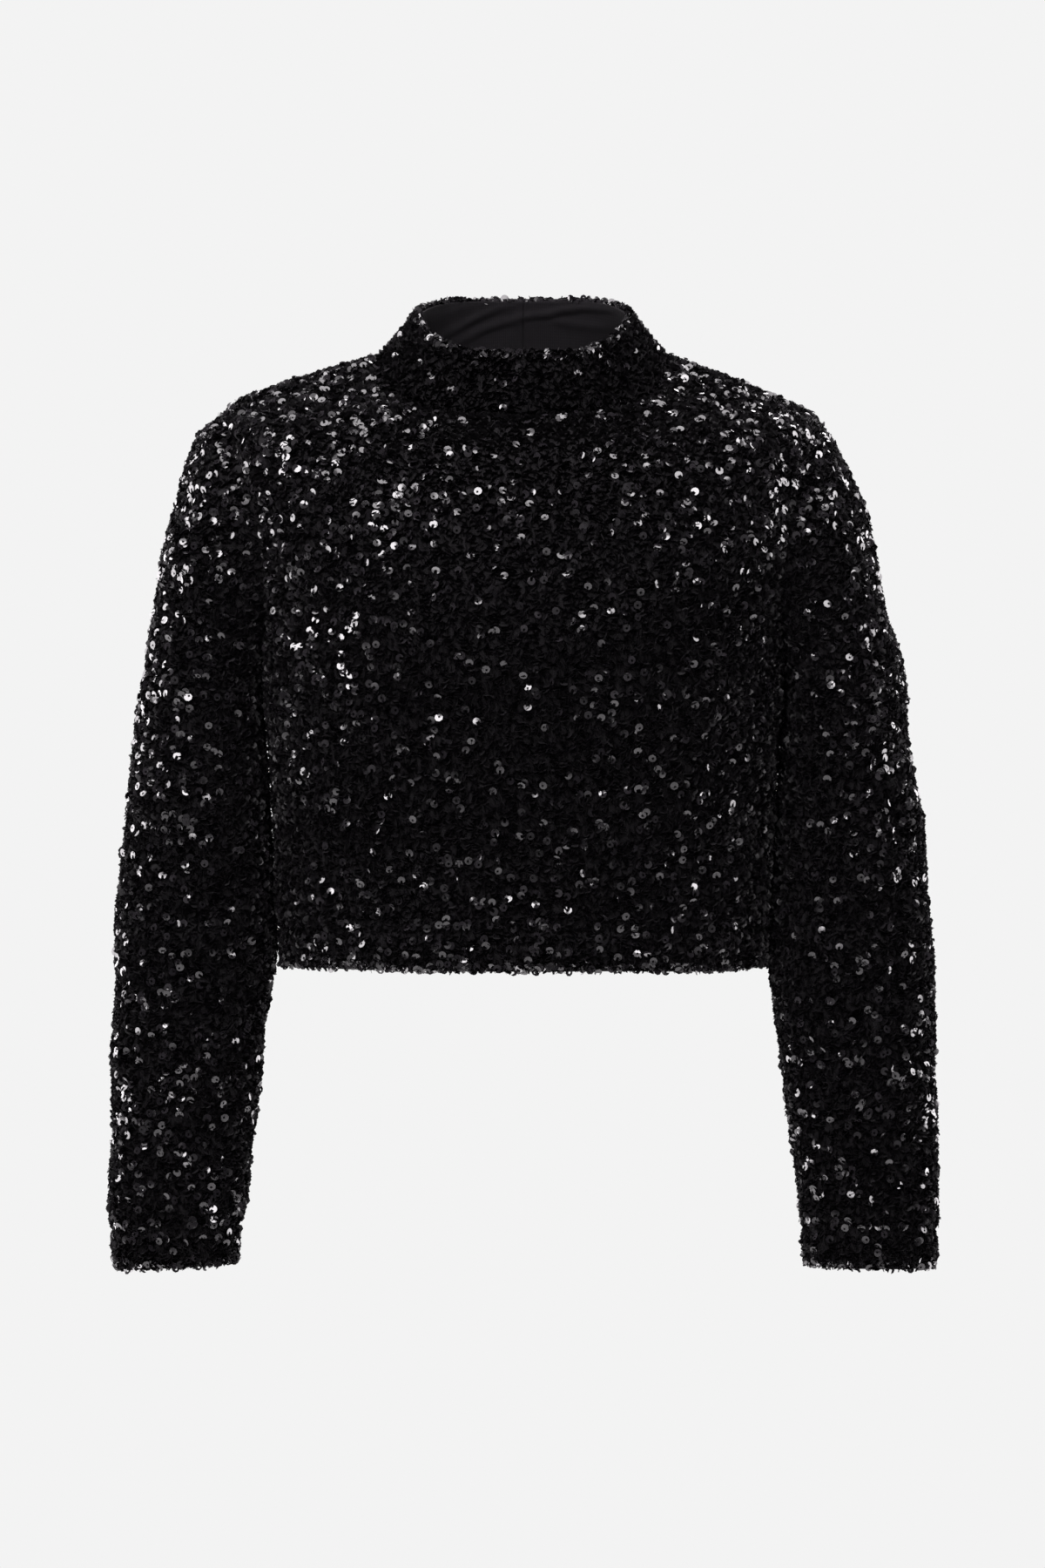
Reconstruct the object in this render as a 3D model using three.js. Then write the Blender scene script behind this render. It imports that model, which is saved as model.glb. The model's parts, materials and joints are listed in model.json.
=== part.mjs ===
// A cropped pull-on sweatshirt with a stand-up funnel collar and long set-in sleeves,
// cut from a sequined knit. It is filled out as if worn, hollow, with nobody in it.
// Millimetres. +Z up, the front faces -Y, the wearer's left is +X.
// The origin is midway between the two points where the shoulder seams meet the collar.
import * as THREE from "three";

// ---- Driving sizes -------------------------------------------------------------------
const WALL = 2.4; // knit ground with its lowest layer of sequins
const HEM_LAYER = 1.4; // the turned-up allowance that lies inside the hem and the cuffs
const LINING = 1.0; // jersey facing inside the back of the collar
const FACING_GAP = 0.6; // between the facing and the collar it lines
const SEAM_GAP = 0.4; // between two pieces that are sewn to each other
const UNDERARM_CLEARANCE = 2.5; // between a hanging sleeve and the side of the body
const LEFT_SHOULDER_DROP = 7.5; // the wearer's left shoulder sits this much lower
const DEG = Math.PI / 180;

// ---- Body: one row for each level, from the hem up to the collar seam -------------------
// halfWidth is at the side or shoulder seam, the depths are at the centre front and the
// centre back, and every level has its own height at the side, the front and the back.
// boxy is the exponent of the rounded outline (2 is an ellipse). scoop says how soon the
// level drops on its way from the shoulder to the centre front: 0 evenly, 1 as a neckline.
const BODY = [
  { level: "hem edge", halfWidth: 164, sideZ: -414, frontDepth: 106, frontZ: -415.5, backDepth: 98, backZ: -414, boxy: 2.45, scoop: 0 },
  { level: "hem stitching", halfWidth: 165, sideZ: -389, frontDepth: 107, frontZ: -389, backDepth: 99, backZ: -389, boxy: 2.45, scoop: 0 },
  { level: "high hip", halfWidth: 167, sideZ: -350, frontDepth: 108, frontZ: -350, backDepth: 100, backZ: -350, boxy: 2.4, scoop: 0 },
  { level: "waist", halfWidth: 169, sideZ: -308, frontDepth: 112, frontZ: -308, backDepth: 101, backZ: -308, boxy: 2.4, scoop: 0 },
  { level: "under bust", halfWidth: 172, sideZ: -262, frontDepth: 119, frontZ: -264, backDepth: 104, backZ: -262, boxy: 2.4, scoop: 0 },
  { level: "underarm", halfWidth: 175, sideZ: -218, frontDepth: 126, frontZ: -220, backDepth: 108, backZ: -216, boxy: 2.5, scoop: 0 },
  { level: "bust", halfWidth: 179, sideZ: -178, frontDepth: 126, frontZ: -182, backDepth: 111, backZ: -174, boxy: 2.75, scoop: 0 },
  { level: "chest", halfWidth: 185, sideZ: -138, frontDepth: 120, frontZ: -147, backDepth: 113, backZ: -130, boxy: 2.95, scoop: 0 },
  { level: "mid armhole", halfWidth: 191, sideZ: -101, frontDepth: 111, frontZ: -117, backDepth: 112, backZ: -90, boxy: 3.0, scoop: 0.05 },
  { level: "upper armhole", halfWidth: 197, sideZ: -67, frontDepth: 101, frontZ: -92, backDepth: 106, backZ: -57, boxy: 2.95, scoop: 0.15 },
  { level: "shoulder point", halfWidth: 199, sideZ: -37.8, frontDepth: 91, frontZ: -74, backDepth: 96, backZ: -33, boxy: 2.7, scoop: 0.3 },
  { level: "outer shoulder", halfWidth: 167, sideZ: -22.3, frontDepth: 82, frontZ: -61.5, backDepth: 85, backZ: -19, boxy: 2.45, scoop: 0.55 },
  { level: "inner shoulder", halfWidth: 131, sideZ: -11, frontDepth: 74.5, frontZ: -53, backDepth: 74, backZ: -9, boxy: 2.3, scoop: 0.8 },
  { level: "collar seam", halfWidth: 97, sideZ: 0, frontDepth: 68, frontZ: -46, backDepth: 63, backZ: -2, boxy: 2.2, scoop: 1 },
];
const HEM_STITCHING = 1; // row numbers in BODY
const UNDERARM = 5;
const SHOULDER_POINT = 10;
const COLLAR_SEAM = 13;
const ARMHOLE_WIDTH = 30.5; // degrees round the body from the side to the armhole's edge
const ARMHOLE_FULLNESS = 2.3; // exponent of the armhole's outline along the levels
const ARMHOLE_SPANS = 11; // straight spans of the armhole's edge from underarm to shoulder

// ---- Sleeves: one row for each section, from the armhole to the cuff edge ----------------
// outer is the point on the overarm line, inner the one on the underarm line, halfDepth is
// from front to back, centreY how far the section has swung back (+) or forward (-), and
// ofArmhole how much of the armhole's own outline the section still has.
const SLEEVE_RIGHT = [
  { section: "armhole", outerX: 199, outerZ: -37.8, innerX: 176, innerZ: -218, halfDepth: 62, centreY: 0, boxy: 2.3, ofArmhole: 1 },
  { section: "cap", outerX: 220, outerZ: -56.5, innerX: 177.5, innerZ: -225, halfDepth: 63, centreY: 0, boxy: 2.3, ofArmhole: 0.75 },
  { section: "cap turn", outerX: 231.5, outerZ: -88, innerX: 178.5, innerZ: -232, halfDepth: 62, centreY: 0, boxy: 2.3, ofArmhole: 0.4 },
  { section: "upper arm 1", outerX: 241, outerZ: -126, innerX: 178.5, innerZ: -241, halfDepth: 61, centreY: 0, boxy: 2.3, ofArmhole: 0.12 },
  { section: "upper arm 2", outerX: 249, outerZ: -170, innerX: 177.5, innerZ: -253, halfDepth: 60, centreY: 0, boxy: 2.3, ofArmhole: 0 },
  { section: "upper arm 3", outerX: 256, outerZ: -216, innerX: 176, innerZ: -272, halfDepth: 58, centreY: -1, boxy: 2.3, ofArmhole: 0 },
  { section: "upper arm 4", outerX: 263.5, outerZ: -266, innerX: 174, innerZ: -301, halfDepth: 55, centreY: -2, boxy: 2.25, ofArmhole: 0 },
  { section: "above elbow", outerX: 268, outerZ: -318, innerX: 172, innerZ: -337, halfDepth: 52, centreY: -4, boxy: 2.2, ofArmhole: 0 },
  { section: "elbow", outerX: 272, outerZ: -368, innerX: 169.5, innerZ: -376, halfDepth: 49, centreY: -6, boxy: 2.2, ofArmhole: 0 },
  { section: "below elbow", outerX: 275, outerZ: -415, innerX: 169.3, innerZ: -416, halfDepth: 46, centreY: -9, boxy: 2.2, ofArmhole: 0 },
  { section: "forearm 1", outerX: 276.5, outerZ: -472, innerX: 175.5, innerZ: -470, halfDepth: 41, centreY: -13, boxy: 2.2, ofArmhole: 0 },
  { section: "forearm 2", outerX: 278, outerZ: -531, innerX: 182, innerZ: -527, halfDepth: 36, centreY: -17, boxy: 2.2, ofArmhole: 0 },
  { section: "cuff stitching", outerX: 278.5, outerZ: -592, innerX: 189, innerZ: -588, halfDepth: 31, centreY: -21, boxy: 2.25, ofArmhole: 0 },
  { section: "cuff edge", outerX: 276, outerZ: -617.5, innerX: 190.7, innerZ: -613, halfDepth: 29, centreY: -23, boxy: 2.25, ofArmhole: 0 },
];
const SLEEVE_LEFT = [
  { section: "armhole", outerX: 199, outerZ: -45.3, innerX: 176, innerZ: -218, halfDepth: 62, centreY: 0, boxy: 2.3, ofArmhole: 1 },
  { section: "cap", outerX: 211.5, outerZ: -63, innerX: 177.5, innerZ: -225, halfDepth: 63, centreY: 0, boxy: 2.3, ofArmhole: 0.75 },
  { section: "cap turn", outerX: 226, outerZ: -92, innerX: 178.5, innerZ: -232, halfDepth: 62, centreY: 0, boxy: 2.3, ofArmhole: 0.4 },
  { section: "upper arm 1", outerX: 235, outerZ: -127, innerX: 178.5, innerZ: -241, halfDepth: 61, centreY: 0, boxy: 2.3, ofArmhole: 0.12 },
  { section: "upper arm 2", outerX: 244.5, outerZ: -170, innerX: 177.5, innerZ: -253, halfDepth: 60, centreY: 0, boxy: 2.3, ofArmhole: 0 },
  { section: "upper arm 3", outerX: 255, outerZ: -216, innerX: 176, innerZ: -272, halfDepth: 58, centreY: -1, boxy: 2.3, ofArmhole: 0 },
  { section: "upper arm 4", outerX: 261.8, outerZ: -266, innerX: 174, innerZ: -301, halfDepth: 55, centreY: -2, boxy: 2.25, ofArmhole: 0 },
  { section: "above elbow", outerX: 269, outerZ: -318, innerX: 171.5, innerZ: -337, halfDepth: 52, centreY: -4, boxy: 2.2, ofArmhole: 0 },
  { section: "elbow", outerX: 273.5, outerZ: -368, innerX: 169, innerZ: -376, halfDepth: 49, centreY: -6, boxy: 2.2, ofArmhole: 0 },
  { section: "below elbow", outerX: 276, outerZ: -415, innerX: 166.6, innerZ: -416, halfDepth: 46, centreY: -9, boxy: 2.2, ofArmhole: 0 },
  { section: "forearm 1", outerX: 277.5, outerZ: -472, innerX: 172.8, innerZ: -470, halfDepth: 41, centreY: -13, boxy: 2.2, ofArmhole: 0 },
  { section: "forearm 2", outerX: 278.3, outerZ: -531, innerX: 180.2, innerZ: -527, halfDepth: 36, centreY: -17, boxy: 2.2, ofArmhole: 0 },
  { section: "cuff stitching", outerX: 278.8, outerZ: -591.5, innerX: 186.6, innerZ: -590, halfDepth: 31, centreY: -21, boxy: 2.25, ofArmhole: 0 },
  { section: "cuff edge", outerX: 277, outerZ: -616.5, innerX: 188.7, innerZ: -615, halfDepth: 29, centreY: -23, boxy: 2.25, ofArmhole: 0 },
];
const CUFF_STITCHING = 12; // row number in the sleeve tables
const CUFF_EDGE = 13;

// ---- Collar: one row for each level, from its seam up to its top edge ---------------------
// The front of the top edge dips in a flat-bottomed U, so dip says how flat: at the seam the
// height changes as the neckline does (0), at the top edge as a U (1).
const COLLAR = [
  { level: "seam", halfWidth: 97, sideZ: 0, frontDepth: 68, frontZ: -46, backDepth: 63, backZ: -2, boxy: 2.2, dip: 0 },
  { level: "lower", halfWidth: 87.5, sideZ: 10, frontDepth: 65, frontZ: -32.5, backDepth: 61, backZ: 12, boxy: 2.2, dip: 0.2 },
  { level: "upper", halfWidth: 79, sideZ: 20, frontDepth: 62, frontZ: -18.5, backDepth: 59, backZ: 27, boxy: 2.2, dip: 0.6 },
  { level: "top edge", halfWidth: 72, sideZ: 29.5, frontDepth: 59, frontZ: -4, backDepth: 57, backZ: 42, boxy: 2.2, dip: 1 },
];
const COLLAR_TOP = 3;
const LINING_TOP = 2.9; // the facing stops a little under the collar's top edge

// ---- Reading a table between its rows -----------------------------------------------------
// Every number column of a table at level t, smooth through the rows.
function rowAt(table, t) {
  const last = table.length - 1;
  const u = Math.min(Math.max(t, 0), last);
  const i = Math.min(Math.floor(u), last - 1);
  const f = u - i;
  const row = {};
  for (const column of Object.keys(table[0])) {
    if (typeof table[0][column] !== "number") continue;
    const b = table[i][column];
    const c = table[i + 1][column];
    const a = i > 0 ? table[i - 1][column] : 2 * b - c;
    const d = i + 2 <= last ? table[i + 2][column] : 2 * c - b;
    row[column] = b + 0.5 * f * (c - a + f * (2 * a - 5 * b + 4 * c - d + f * (3 * (b - c) + d - a)));
  }
  return row;
}

const evenly = (from, to, steps) => Array.from({ length: steps + 1 }, (_, i) => from + ((to - from) * i) / steps);

// Outline of a rounded section: the unit point at an angle from the front centre.
function rounded(angle, boxy) {
  const s = Math.sin(angle);
  const c = Math.cos(angle);
  const r = Math.pow(Math.pow(Math.abs(s), boxy) + Math.pow(Math.abs(c), boxy), -1 / boxy);
  return { s: r * s, c: r * c };
}

// How much of the way down a level has gone at an angle, 0 at the shoulder and 1 at the centre.
function towardsFront(angle, scoop) {
  const c = Math.abs(Math.cos(angle));
  return c * c * (1 - scoop) + (1 - Math.pow(1 - c, 1.4)) * scoop;
}

// ---- Surfaces -------------------------------------------------------------------------------
// The body's outside at an angle (0 centre front, +90 degrees the wearer's left) and a level.
function bodyPoint(angle, level) {
  const row = rowAt(BODY, level);
  const { s, c } = rounded(angle, row.boxy);
  const depth = c >= 0 ? row.frontDepth : row.backDepth;
  const endZ = c >= 0 ? row.frontZ : row.backZ;
  const toEnd = c >= 0 ? towardsFront(angle, row.scoop) : Math.cos(angle) ** 2;
  const left = Math.max(0, Math.sin(angle)) ** 2;
  const shoulder = Math.exp(-(((level - SHOULDER_POINT) / 1.9) ** 2));
  return new THREE.Vector3(
    row.halfWidth * s,
    -depth * c,
    row.sideZ + (endZ - row.sideZ) * toEnd - LEFT_SHOULDER_DROP * left * shoulder,
  );
}

// Half the armhole's angular width at a level: nothing below the underarm or above the shoulder.
function armholeAngle(level) {
  const middle = (UNDERARM + SHOULDER_POINT) / 2;
  const reach = (SHOULDER_POINT - UNDERARM) / 2;
  const from = Math.abs((level - middle) / reach);
  if (from >= 1) return 0;
  return ARMHOLE_WIDTH * DEG * Math.pow(1 - Math.pow(from, ARMHOLE_FULLNESS), 1 / 2);
}

// The collar's outside at an angle and a level of its own table.
function collarPoint(angle, level) {
  const row = rowAt(COLLAR, level);
  const { s, c } = rounded(angle, row.boxy);
  const front = c >= 0;
  const asSeam = towardsFront(angle, 1);
  const asU = Math.pow(Math.max(0, 1 - Math.pow(Math.abs(s), front ? 4 : 5)), 0.7);
  const asArc = front ? asSeam : Math.cos(angle) ** 2;
  const toEnd = asArc + (asU - asArc) * row.dip;
  return new THREE.Vector3(
    row.halfWidth * s,
    -(front ? row.frontDepth : row.backDepth) * c,
    row.sideZ + ((front ? row.frontZ : row.backZ) - row.sideZ) * toEnd,
  );
}

// Half of the armhole's edge, its front (facing 1) or back (-1), from the underarm up, on the
// right side (side -1) or the left (1): the points, their levels and the length so far.
const LOOP_STEPS = 240;
const armholePlace = (side, facing, level) => side * (Math.PI / 2 - facing * armholeAngle(level));
function armholeHalf(side, facing) {
  const points = [];
  const levels = [];
  const along = [0];
  for (let i = 0; i <= LOOP_STEPS; i++) {
    const level = (UNDERARM + SHOULDER_POINT) / 2 - ((SHOULDER_POINT - UNDERARM) / 2) * Math.cos((Math.PI * i) / LOOP_STEPS);
    levels.push(level);
    points.push(bodyPoint(armholePlace(side, facing, level), level));
    if (i > 0) along.push(along[i - 1] + points[i].distanceTo(points[i - 1]));
  }
  return { points, levels, along };
}

// The armhole's edge as a loop, at turn 0 the underarm, a quarter the front, half the shoulder
// point and three quarters the back, evenly spaced along each half of the edge.
function armholeLoop(side) {
  const halves = { front: armholeHalf(side, 1), back: armholeHalf(side, -1) };
  const find = (turn) => {
    const isBack = turn > 0.5;
    const half = isBack ? halves.back : halves.front;
    const want = (isBack ? 1 - turn : turn) * 2 * half.along[LOOP_STEPS];
    let i = 1;
    while (i < LOOP_STEPS && half.along[i] < want) i++;
    const f = Math.min(Math.max((want - half.along[i - 1]) / (half.along[i] - half.along[i - 1]), 0), 1);
    return { half, facing: isBack ? -1 : 1, i, f };
  };
  const loop = (turn) => {
    const { half, i, f } = find(turn);
    return half.points[i - 1].clone().lerp(half.points[i], f);
  };
  // Where on the body a turn of the loop lies.
  loop.place = (turn) => {
    const { half, facing, i, f } = find(turn);
    const level = half.levels[i - 1] + (half.levels[i] - half.levels[i - 1]) * f;
    return { angle: armholePlace(side, facing, level), level };
  };
  // The turn at which the front or back edge reaches a level.
  loop.turnOf = (level, facing) => {
    const half = facing > 0 ? halves.front : halves.back;
    let i = 1;
    while (i < LOOP_STEPS && half.levels[i] < level) i++;
    const f = (level - half.levels[i - 1]) / (half.levels[i] - half.levels[i - 1]);
    const part = (half.along[i - 1] + (half.along[i] - half.along[i - 1]) * f) / half.along[LOOP_STEPS] / 2;
    return facing > 0 ? part : 1 - part;
  };
  return loop;
}

// How far out the body's side reaches at a depth y and a height z under the armhole.
function bodySideX(y, z) {
  let level = 0;
  while (level < UNDERARM && BODY[level + 1].sideZ < z) level++;
  if (level < UNDERARM) level += (z - BODY[level].sideZ) / (BODY[level + 1].sideZ - BODY[level].sideZ);
  const row = rowAt(BODY, level);
  const share = Math.min(1, Math.abs(y) / (y < 0 ? row.frontDepth : row.backDepth));
  return row.halfWidth * Math.pow(1 - Math.pow(share, row.boxy), 1 / row.boxy);
}

// A sleeve's outside at a turn round it and a level of its table. side is -1 for the right sleeve.
function sleeveSurface(table, side) {
  const loop = armholeLoop(side);
  const first = table[0];
  const seamFrom = new THREE.Vector3(side * first.innerX, 0, first.innerZ);
  const seamTo = new THREE.Vector3(side * first.outerX, 0, first.outerZ);
  const seamMiddle = seamFrom.clone().lerp(seamTo, 0.5);
  const seamHalf = seamTo.clone().sub(seamFrom).multiplyScalar(0.5);
  return (turn, level) => {
    const row = rowAt(table, level);
    const inner = new THREE.Vector3(side * row.innerX, row.centreY, row.innerZ);
    const outer = new THREE.Vector3(side * row.outerX, row.centreY, row.outerZ);
    const middle = inner.clone().lerp(outer, 0.5);
    const half = outer.clone().sub(inner).multiplyScalar(0.5);
    const { s, c } = rounded(turn * 2 * Math.PI, row.boxy);
    const own = middle.clone().addScaledVector(half, -c);
    own.y -= row.halfDepth * s;
    if (row.ofArmhole <= 0) return own;
    // The same point as the armhole's outline gives it, carried to this section.
    const at = loop(turn);
    const off = at.clone().sub(seamMiddle);
    off.y = 0;
    const along = off.dot(seamHalf) / seamHalf.lengthSq();
    const out = off.clone().addScaledVector(seamHalf, -along);
    const carried = middle.clone().addScaledVector(half, along).addScaledVector(out, row.ofArmhole);
    carried.y = row.centreY + (at.y * row.halfDepth) / first.halfDepth;
    return own.lerp(carried, Math.min(1, row.ofArmhole));
  };
}

// Moves a sleeve's point out from the body's side where the two hang next to each other.
function keptClear(point, side) {
  const under = BODY[UNDERARM].sideZ - point.z;
  if (under < 0 || point.z < BODY[0].sideZ - 6) return point;
  const gap = SEAM_GAP + (UNDERARM_CLEARANCE - SEAM_GAP) * THREE.MathUtils.smoothstep(under, 0, 14);
  const least = bodySideX(point.y, point.z) + gap;
  if (side * point.x < least) point.x = side * least;
  return point;
}

// ---- Walls of cloth ---------------------------------------------------------------------------
// A closed wall over a grid of outside points. at(u, v) gives the outside, normal(u, v) its
// outward direction and thickness(v) the wall; rows and columns are the values of v and u.
// A wall that closes on itself has no first and last column edge.
function clothWall({ at, normal, thickness, columns, rows, closed }) {
  const across = columns.length;
  const up = rows.length;
  const positions = [];
  for (const outside of [true, false])
    for (const v of rows)
      for (const u of columns) {
        const p = at(u, v);
        if (!outside) p.addScaledVector(normal(u, v), -thickness(u, v));
        positions.push(p.x, p.y, p.z);
      }
  const inside = across * up;
  const index = [];
  const quad = (a, b, c, d) => index.push(a, b, c, a, c, d);
  const spans = closed ? across : across - 1;
  const apart = (a, b) => Math.hypot(...[0, 1, 2].map((k) => positions[3 * a + k] - positions[3 * b + k]));
  for (let r = 0; r < up - 1; r++)
    for (let i = 0; i < spans; i++) {
      const j = (i + 1) % across;
      const [a, b, c, d] = [r * across + i, r * across + j, (r + 1) * across + j, (r + 1) * across + i];
      // Each square is folded along its shorter diagonal, which keeps a slanted grid smooth.
      if (apart(a, c) <= apart(b, d)) {
        quad(a, b, c, d);
        quad(inside + a, inside + d, inside + c, inside + b);
      } else {
        quad(b, c, d, a);
        quad(inside + b, inside + a, inside + d, inside + c);
      }
    }
  for (let i = 0; i < spans; i++) {
    const j = (i + 1) % across;
    const top = (up - 1) * across;
    quad(inside + i, inside + j, j, i);
    quad(top + i, top + j, inside + top + j, inside + top + i);
  }
  if (!closed)
    for (let r = 0; r < up - 1; r++) {
      const [a, b] = [r * across, (r + 1) * across];
      const [c, d] = [a + across - 1, b + across - 1];
      quad(inside + a, a, b, inside + b);
      quad(c, inside + c, inside + d, d);
    }
  return new THREE.BufferGeometry()
    .setAttribute("position", new THREE.Float32BufferAttribute(positions, 3))
    .setIndex(index);
}

// The outward normal of a surface by differences, at(u, v) running so that du x dv points out.
function outward(at, du, dv, vLow, vHigh) {
  return (u, v) => {
    const v0 = Math.max(vLow, v - dv);
    const v1 = Math.min(vHigh, v + dv);
    const alongU = at(u + du, v).sub(at(u - du, v));
    const alongV = at(u, v1).sub(at(u, v0));
    return alongU.cross(alongV).normalize();
  };
}

// The levels of the armhole's edge that divide it into equal spans, underarm and shoulder too.
function armholeLevels(facing) {
  const { levels, along } = armholeHalf(-1, facing);
  const total = along[along.length - 1];
  return evenly(0, total, ARMHOLE_SPANS).map((want, n) => {
    if (n === 0) return UNDERARM;
    if (n === ARMHOLE_SPANS) return SHOULDER_POINT;
    const i = along.findIndex((a) => a >= want);
    return levels[i - 1] + ((levels[i] - levels[i - 1]) * (want - along[i - 1])) / (along[i] - along[i - 1]);
  });
}

// Front or back of the body. u runs from one side seam to the other, v is a row of squares.
function bodyPanel(facing) {
  const edge = (level) => {
    const depth = rowAt(BODY, level)[facing > 0 ? "frontDepth" : "backDepth"];
    return Math.PI / 2 - armholeAngle(level) - SEAM_GAP / 2 / depth;
  };
  // The rows follow the armhole's spans at its edge and are evenly spaced at the centre.
  const below = [0, 0.5, 1, 1.06, 1.7, 2.5, 3.3, 4.2];
  const above = [10.6, 11.3, 12, 12.6, 12.985];
  const atEdge = [...below, ...armholeLevels(facing), ...above];
  const atCentre = [...below, ...evenly(UNDERARM, SHOULDER_POINT, ARMHOLE_SPANS), ...above];
  const levelAt = (u, v) => atCentre[v] + (atEdge[v] - atCentre[v]) * Math.abs(2 * u - 1) ** 3;
  // The armhole moves the columns next to it and leaves those at the centre where they are.
  const whole = Math.PI / 2;
  const angleAt = (u, v) => {
    const w = 2 * u - 1;
    return (facing > 0 ? 0 : Math.PI) + whole * w - (whole - edge(atEdge[v])) * Math.sign(w) * Math.abs(w) ** 2.2;
  };
  const normal = outward(bodyPoint, 2.5 * DEG, 0.12, 0, COLLAR_SEAM);
  return clothWall({
    at: (u, v) => bodyPoint(angleAt(u, v), levelAt(u, v)),
    normal: (u, v) => normal(angleAt(u, v), levelAt(u, v)),
    thickness: (u, v) => (atEdge[v] <= HEM_STITCHING ? WALL + HEM_LAYER : WALL),
    columns: evenly(0, 1, 20),
    rows: atEdge.map((level, v) => v),
    closed: false,
  });
}

// A sleeve. The seam under the arm lies at turn 0.
function sleeve(table, side) {
  const surface = sleeveSurface(table, side);
  const loop = armholeLoop(side);
  const wrap = (turn) => ((turn % 1) + 1) % 1;
  const bodyNormal = outward(bodyPoint, 2.5 * DEG, 0.12, 0, COLLAR_SEAM);
  const at = (turn, level) => keptClear(surface(wrap(turn), level), side);
  const turning = (u, level) => at(side < 0 ? u : -u, level);
  const normal = outward(turning, 0.012, 0.1, 0, CUFF_EDGE);
  // At the armhole the wall ends halfway between the body's wall and the sleeve's own, a seam's
  // gap in from the edge of the body and as much out from it.
  const edge = (u) => {
    const turn = wrap(side < 0 ? u : -u);
    const p = loop(turn);
    const { angle, level } = loop.place(turn);
    const fromBody = bodyNormal(angle, Math.min(Math.max(level, UNDERARM), SHOULDER_POINT));
    const fromSleeve = normal(u, 0.5);
    const along = loop(wrap(turn + 0.01)).sub(loop(wrap(turn - 0.01))).normalize();
    const intoHole = along.clone().cross(fromBody).normalize();
    const middle = new THREE.Vector3(p.x, 0, (BODY[UNDERARM].sideZ + BODY[SHOULDER_POINT].sideZ) / 2);
    if (intoHole.dot(middle.sub(p)) < 0) intoHole.negate();
    const wall = fromBody.clone().add(fromSleeve);
    wall.addScaledVector(along, -wall.dot(along)).normalize();
    // Under the arm the cloth turns right back, and the wall there points up into the sleeve.
    if (fromBody.dot(fromSleeve) < -0.2) wall.lerp(intoHole.clone().negate(), 0.5).normalize();
    p.addScaledVector(intoHole, SEAM_GAP * 0.9).addScaledVector(fromBody, SEAM_GAP);
    return { p, wall };
  };
  const turns = [...armholeLevels(1).map((l) => loop.turnOf(l, 1)), ...armholeLevels(-1).map((l) => loop.turnOf(l, -1)).reverse().slice(1, -1)];
  return clothWall({
    at: (u, v) => (v === 0 ? edge(u).p : turning(u, v)),
    normal: (u, v) => (v === 0 ? edge(u).wall : normal(u, v)),
    thickness: (u, v) => (v >= CUFF_STITCHING ? WALL + HEM_LAYER : WALL),
    columns: side < 0 ? turns : turns.map((turn) => wrap(-turn)).sort((a, b) => a - b),
    rows: [0, 0.4, 1, 1.7, 2.5, 3.3, 4.2, 5.2, 6.2, 7.2, 8.2, 9.2, 10.2, 11.2, 11.94, 12, 12.5, 13],
    closed: true,
  });
}

// Front or back of the collar, or a facing inside it when inset is more than nothing.
function collarPanel({ centre, halfAngle, low, high, inset, wall, columns, rows }) {
  const normal = outward(collarPoint, 3 * DEG, 0.2, 0, COLLAR_TOP);
  const angleAt = (u) => centre + (2 * u - 1) * halfAngle;
  return clothWall({
    at: (u, v) => collarPoint(angleAt(u), v).addScaledVector(normal(angleAt(u), v), -inset),
    normal: (u, v) => normal(angleAt(u), v),
    thickness: () => wall,
    columns: evenly(0, 1, columns),
    rows: evenly(low, high, rows),
    closed: false,
  });
}

// ---- The garment ------------------------------------------------------------------------------
const sequinedKnit = (name) => {
  const m = new THREE.MeshStandardMaterial({ color: 0x131215, roughness: 0.32, metalness: 0.0, side: THREE.DoubleSide });
  m.name = name;
  return m;
};
const jersey = new THREE.MeshStandardMaterial({ color: 0x1c1a1d, roughness: 0.9, metalness: 0.0 });
jersey.name = "jersey facing";

function piece(name, geometry, material) {
  const mesh = new THREE.Mesh(geometry, material);
  mesh.name = name;
  return mesh;
}

const garment = new THREE.Group();
garment.name = "sweatshirt";

const body = new THREE.Group();
body.add(piece("front", bodyPanel(1), sequinedKnit("front cloth")));
body.add(piece("back", bodyPanel(-1), sequinedKnit("back cloth")));
garment.add(body);

const sleeves = new THREE.Group();
sleeves.add(piece("sleeve_right", sleeve(SLEEVE_RIGHT, -1), sequinedKnit("right sleeve cloth")));
sleeves.add(piece("sleeve_left", sleeve(SLEEVE_LEFT, 1), sequinedKnit("left sleeve cloth")));
garment.add(sleeves);

const collar = new THREE.Group();
const collarSeamAngle = SEAM_GAP / 2 / 55;
const seamLevel = 0.03; // the collar starts this much of a row above its seam
collar.add(
  piece(
    "collar_front",
    collarPanel({ centre: 0, halfAngle: Math.PI / 2 - collarSeamAngle, low: seamLevel, high: COLLAR_TOP, inset: 0, wall: WALL, columns: 24, rows: 4 }),
    sequinedKnit("collar front cloth"),
  ),
);
collar.add(
  piece(
    "collar_back",
    collarPanel({ centre: Math.PI, halfAngle: Math.PI / 2 - collarSeamAngle, low: seamLevel, high: COLLAR_TOP, inset: 0, wall: WALL, columns: 20, rows: 4 }),
    sequinedKnit("collar back cloth"),
  ),
);
for (const [name, centre] of [
  ["collar_facing_left", 135 * DEG],
  ["collar_facing_right", -135 * DEG],
])
  collar.add(
    piece(
      name,
      collarPanel({ centre, halfAngle: 45 * DEG - 2 * collarSeamAngle, low: 0.08, high: LINING_TOP, inset: WALL + FACING_GAP, wall: LINING, columns: 10, rows: 3 }),
      jersey,
    ),
  );
garment.add(collar);

export default garment;
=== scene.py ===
# A cropped sequined sweatshirt with a stand-up funnel collar, filled out with no wearer.
# Metres in Blender. The tables below are in millimetres, in the same frame as the solids.
import json
import math

import bpy
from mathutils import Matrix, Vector
import numpy as np

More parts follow.
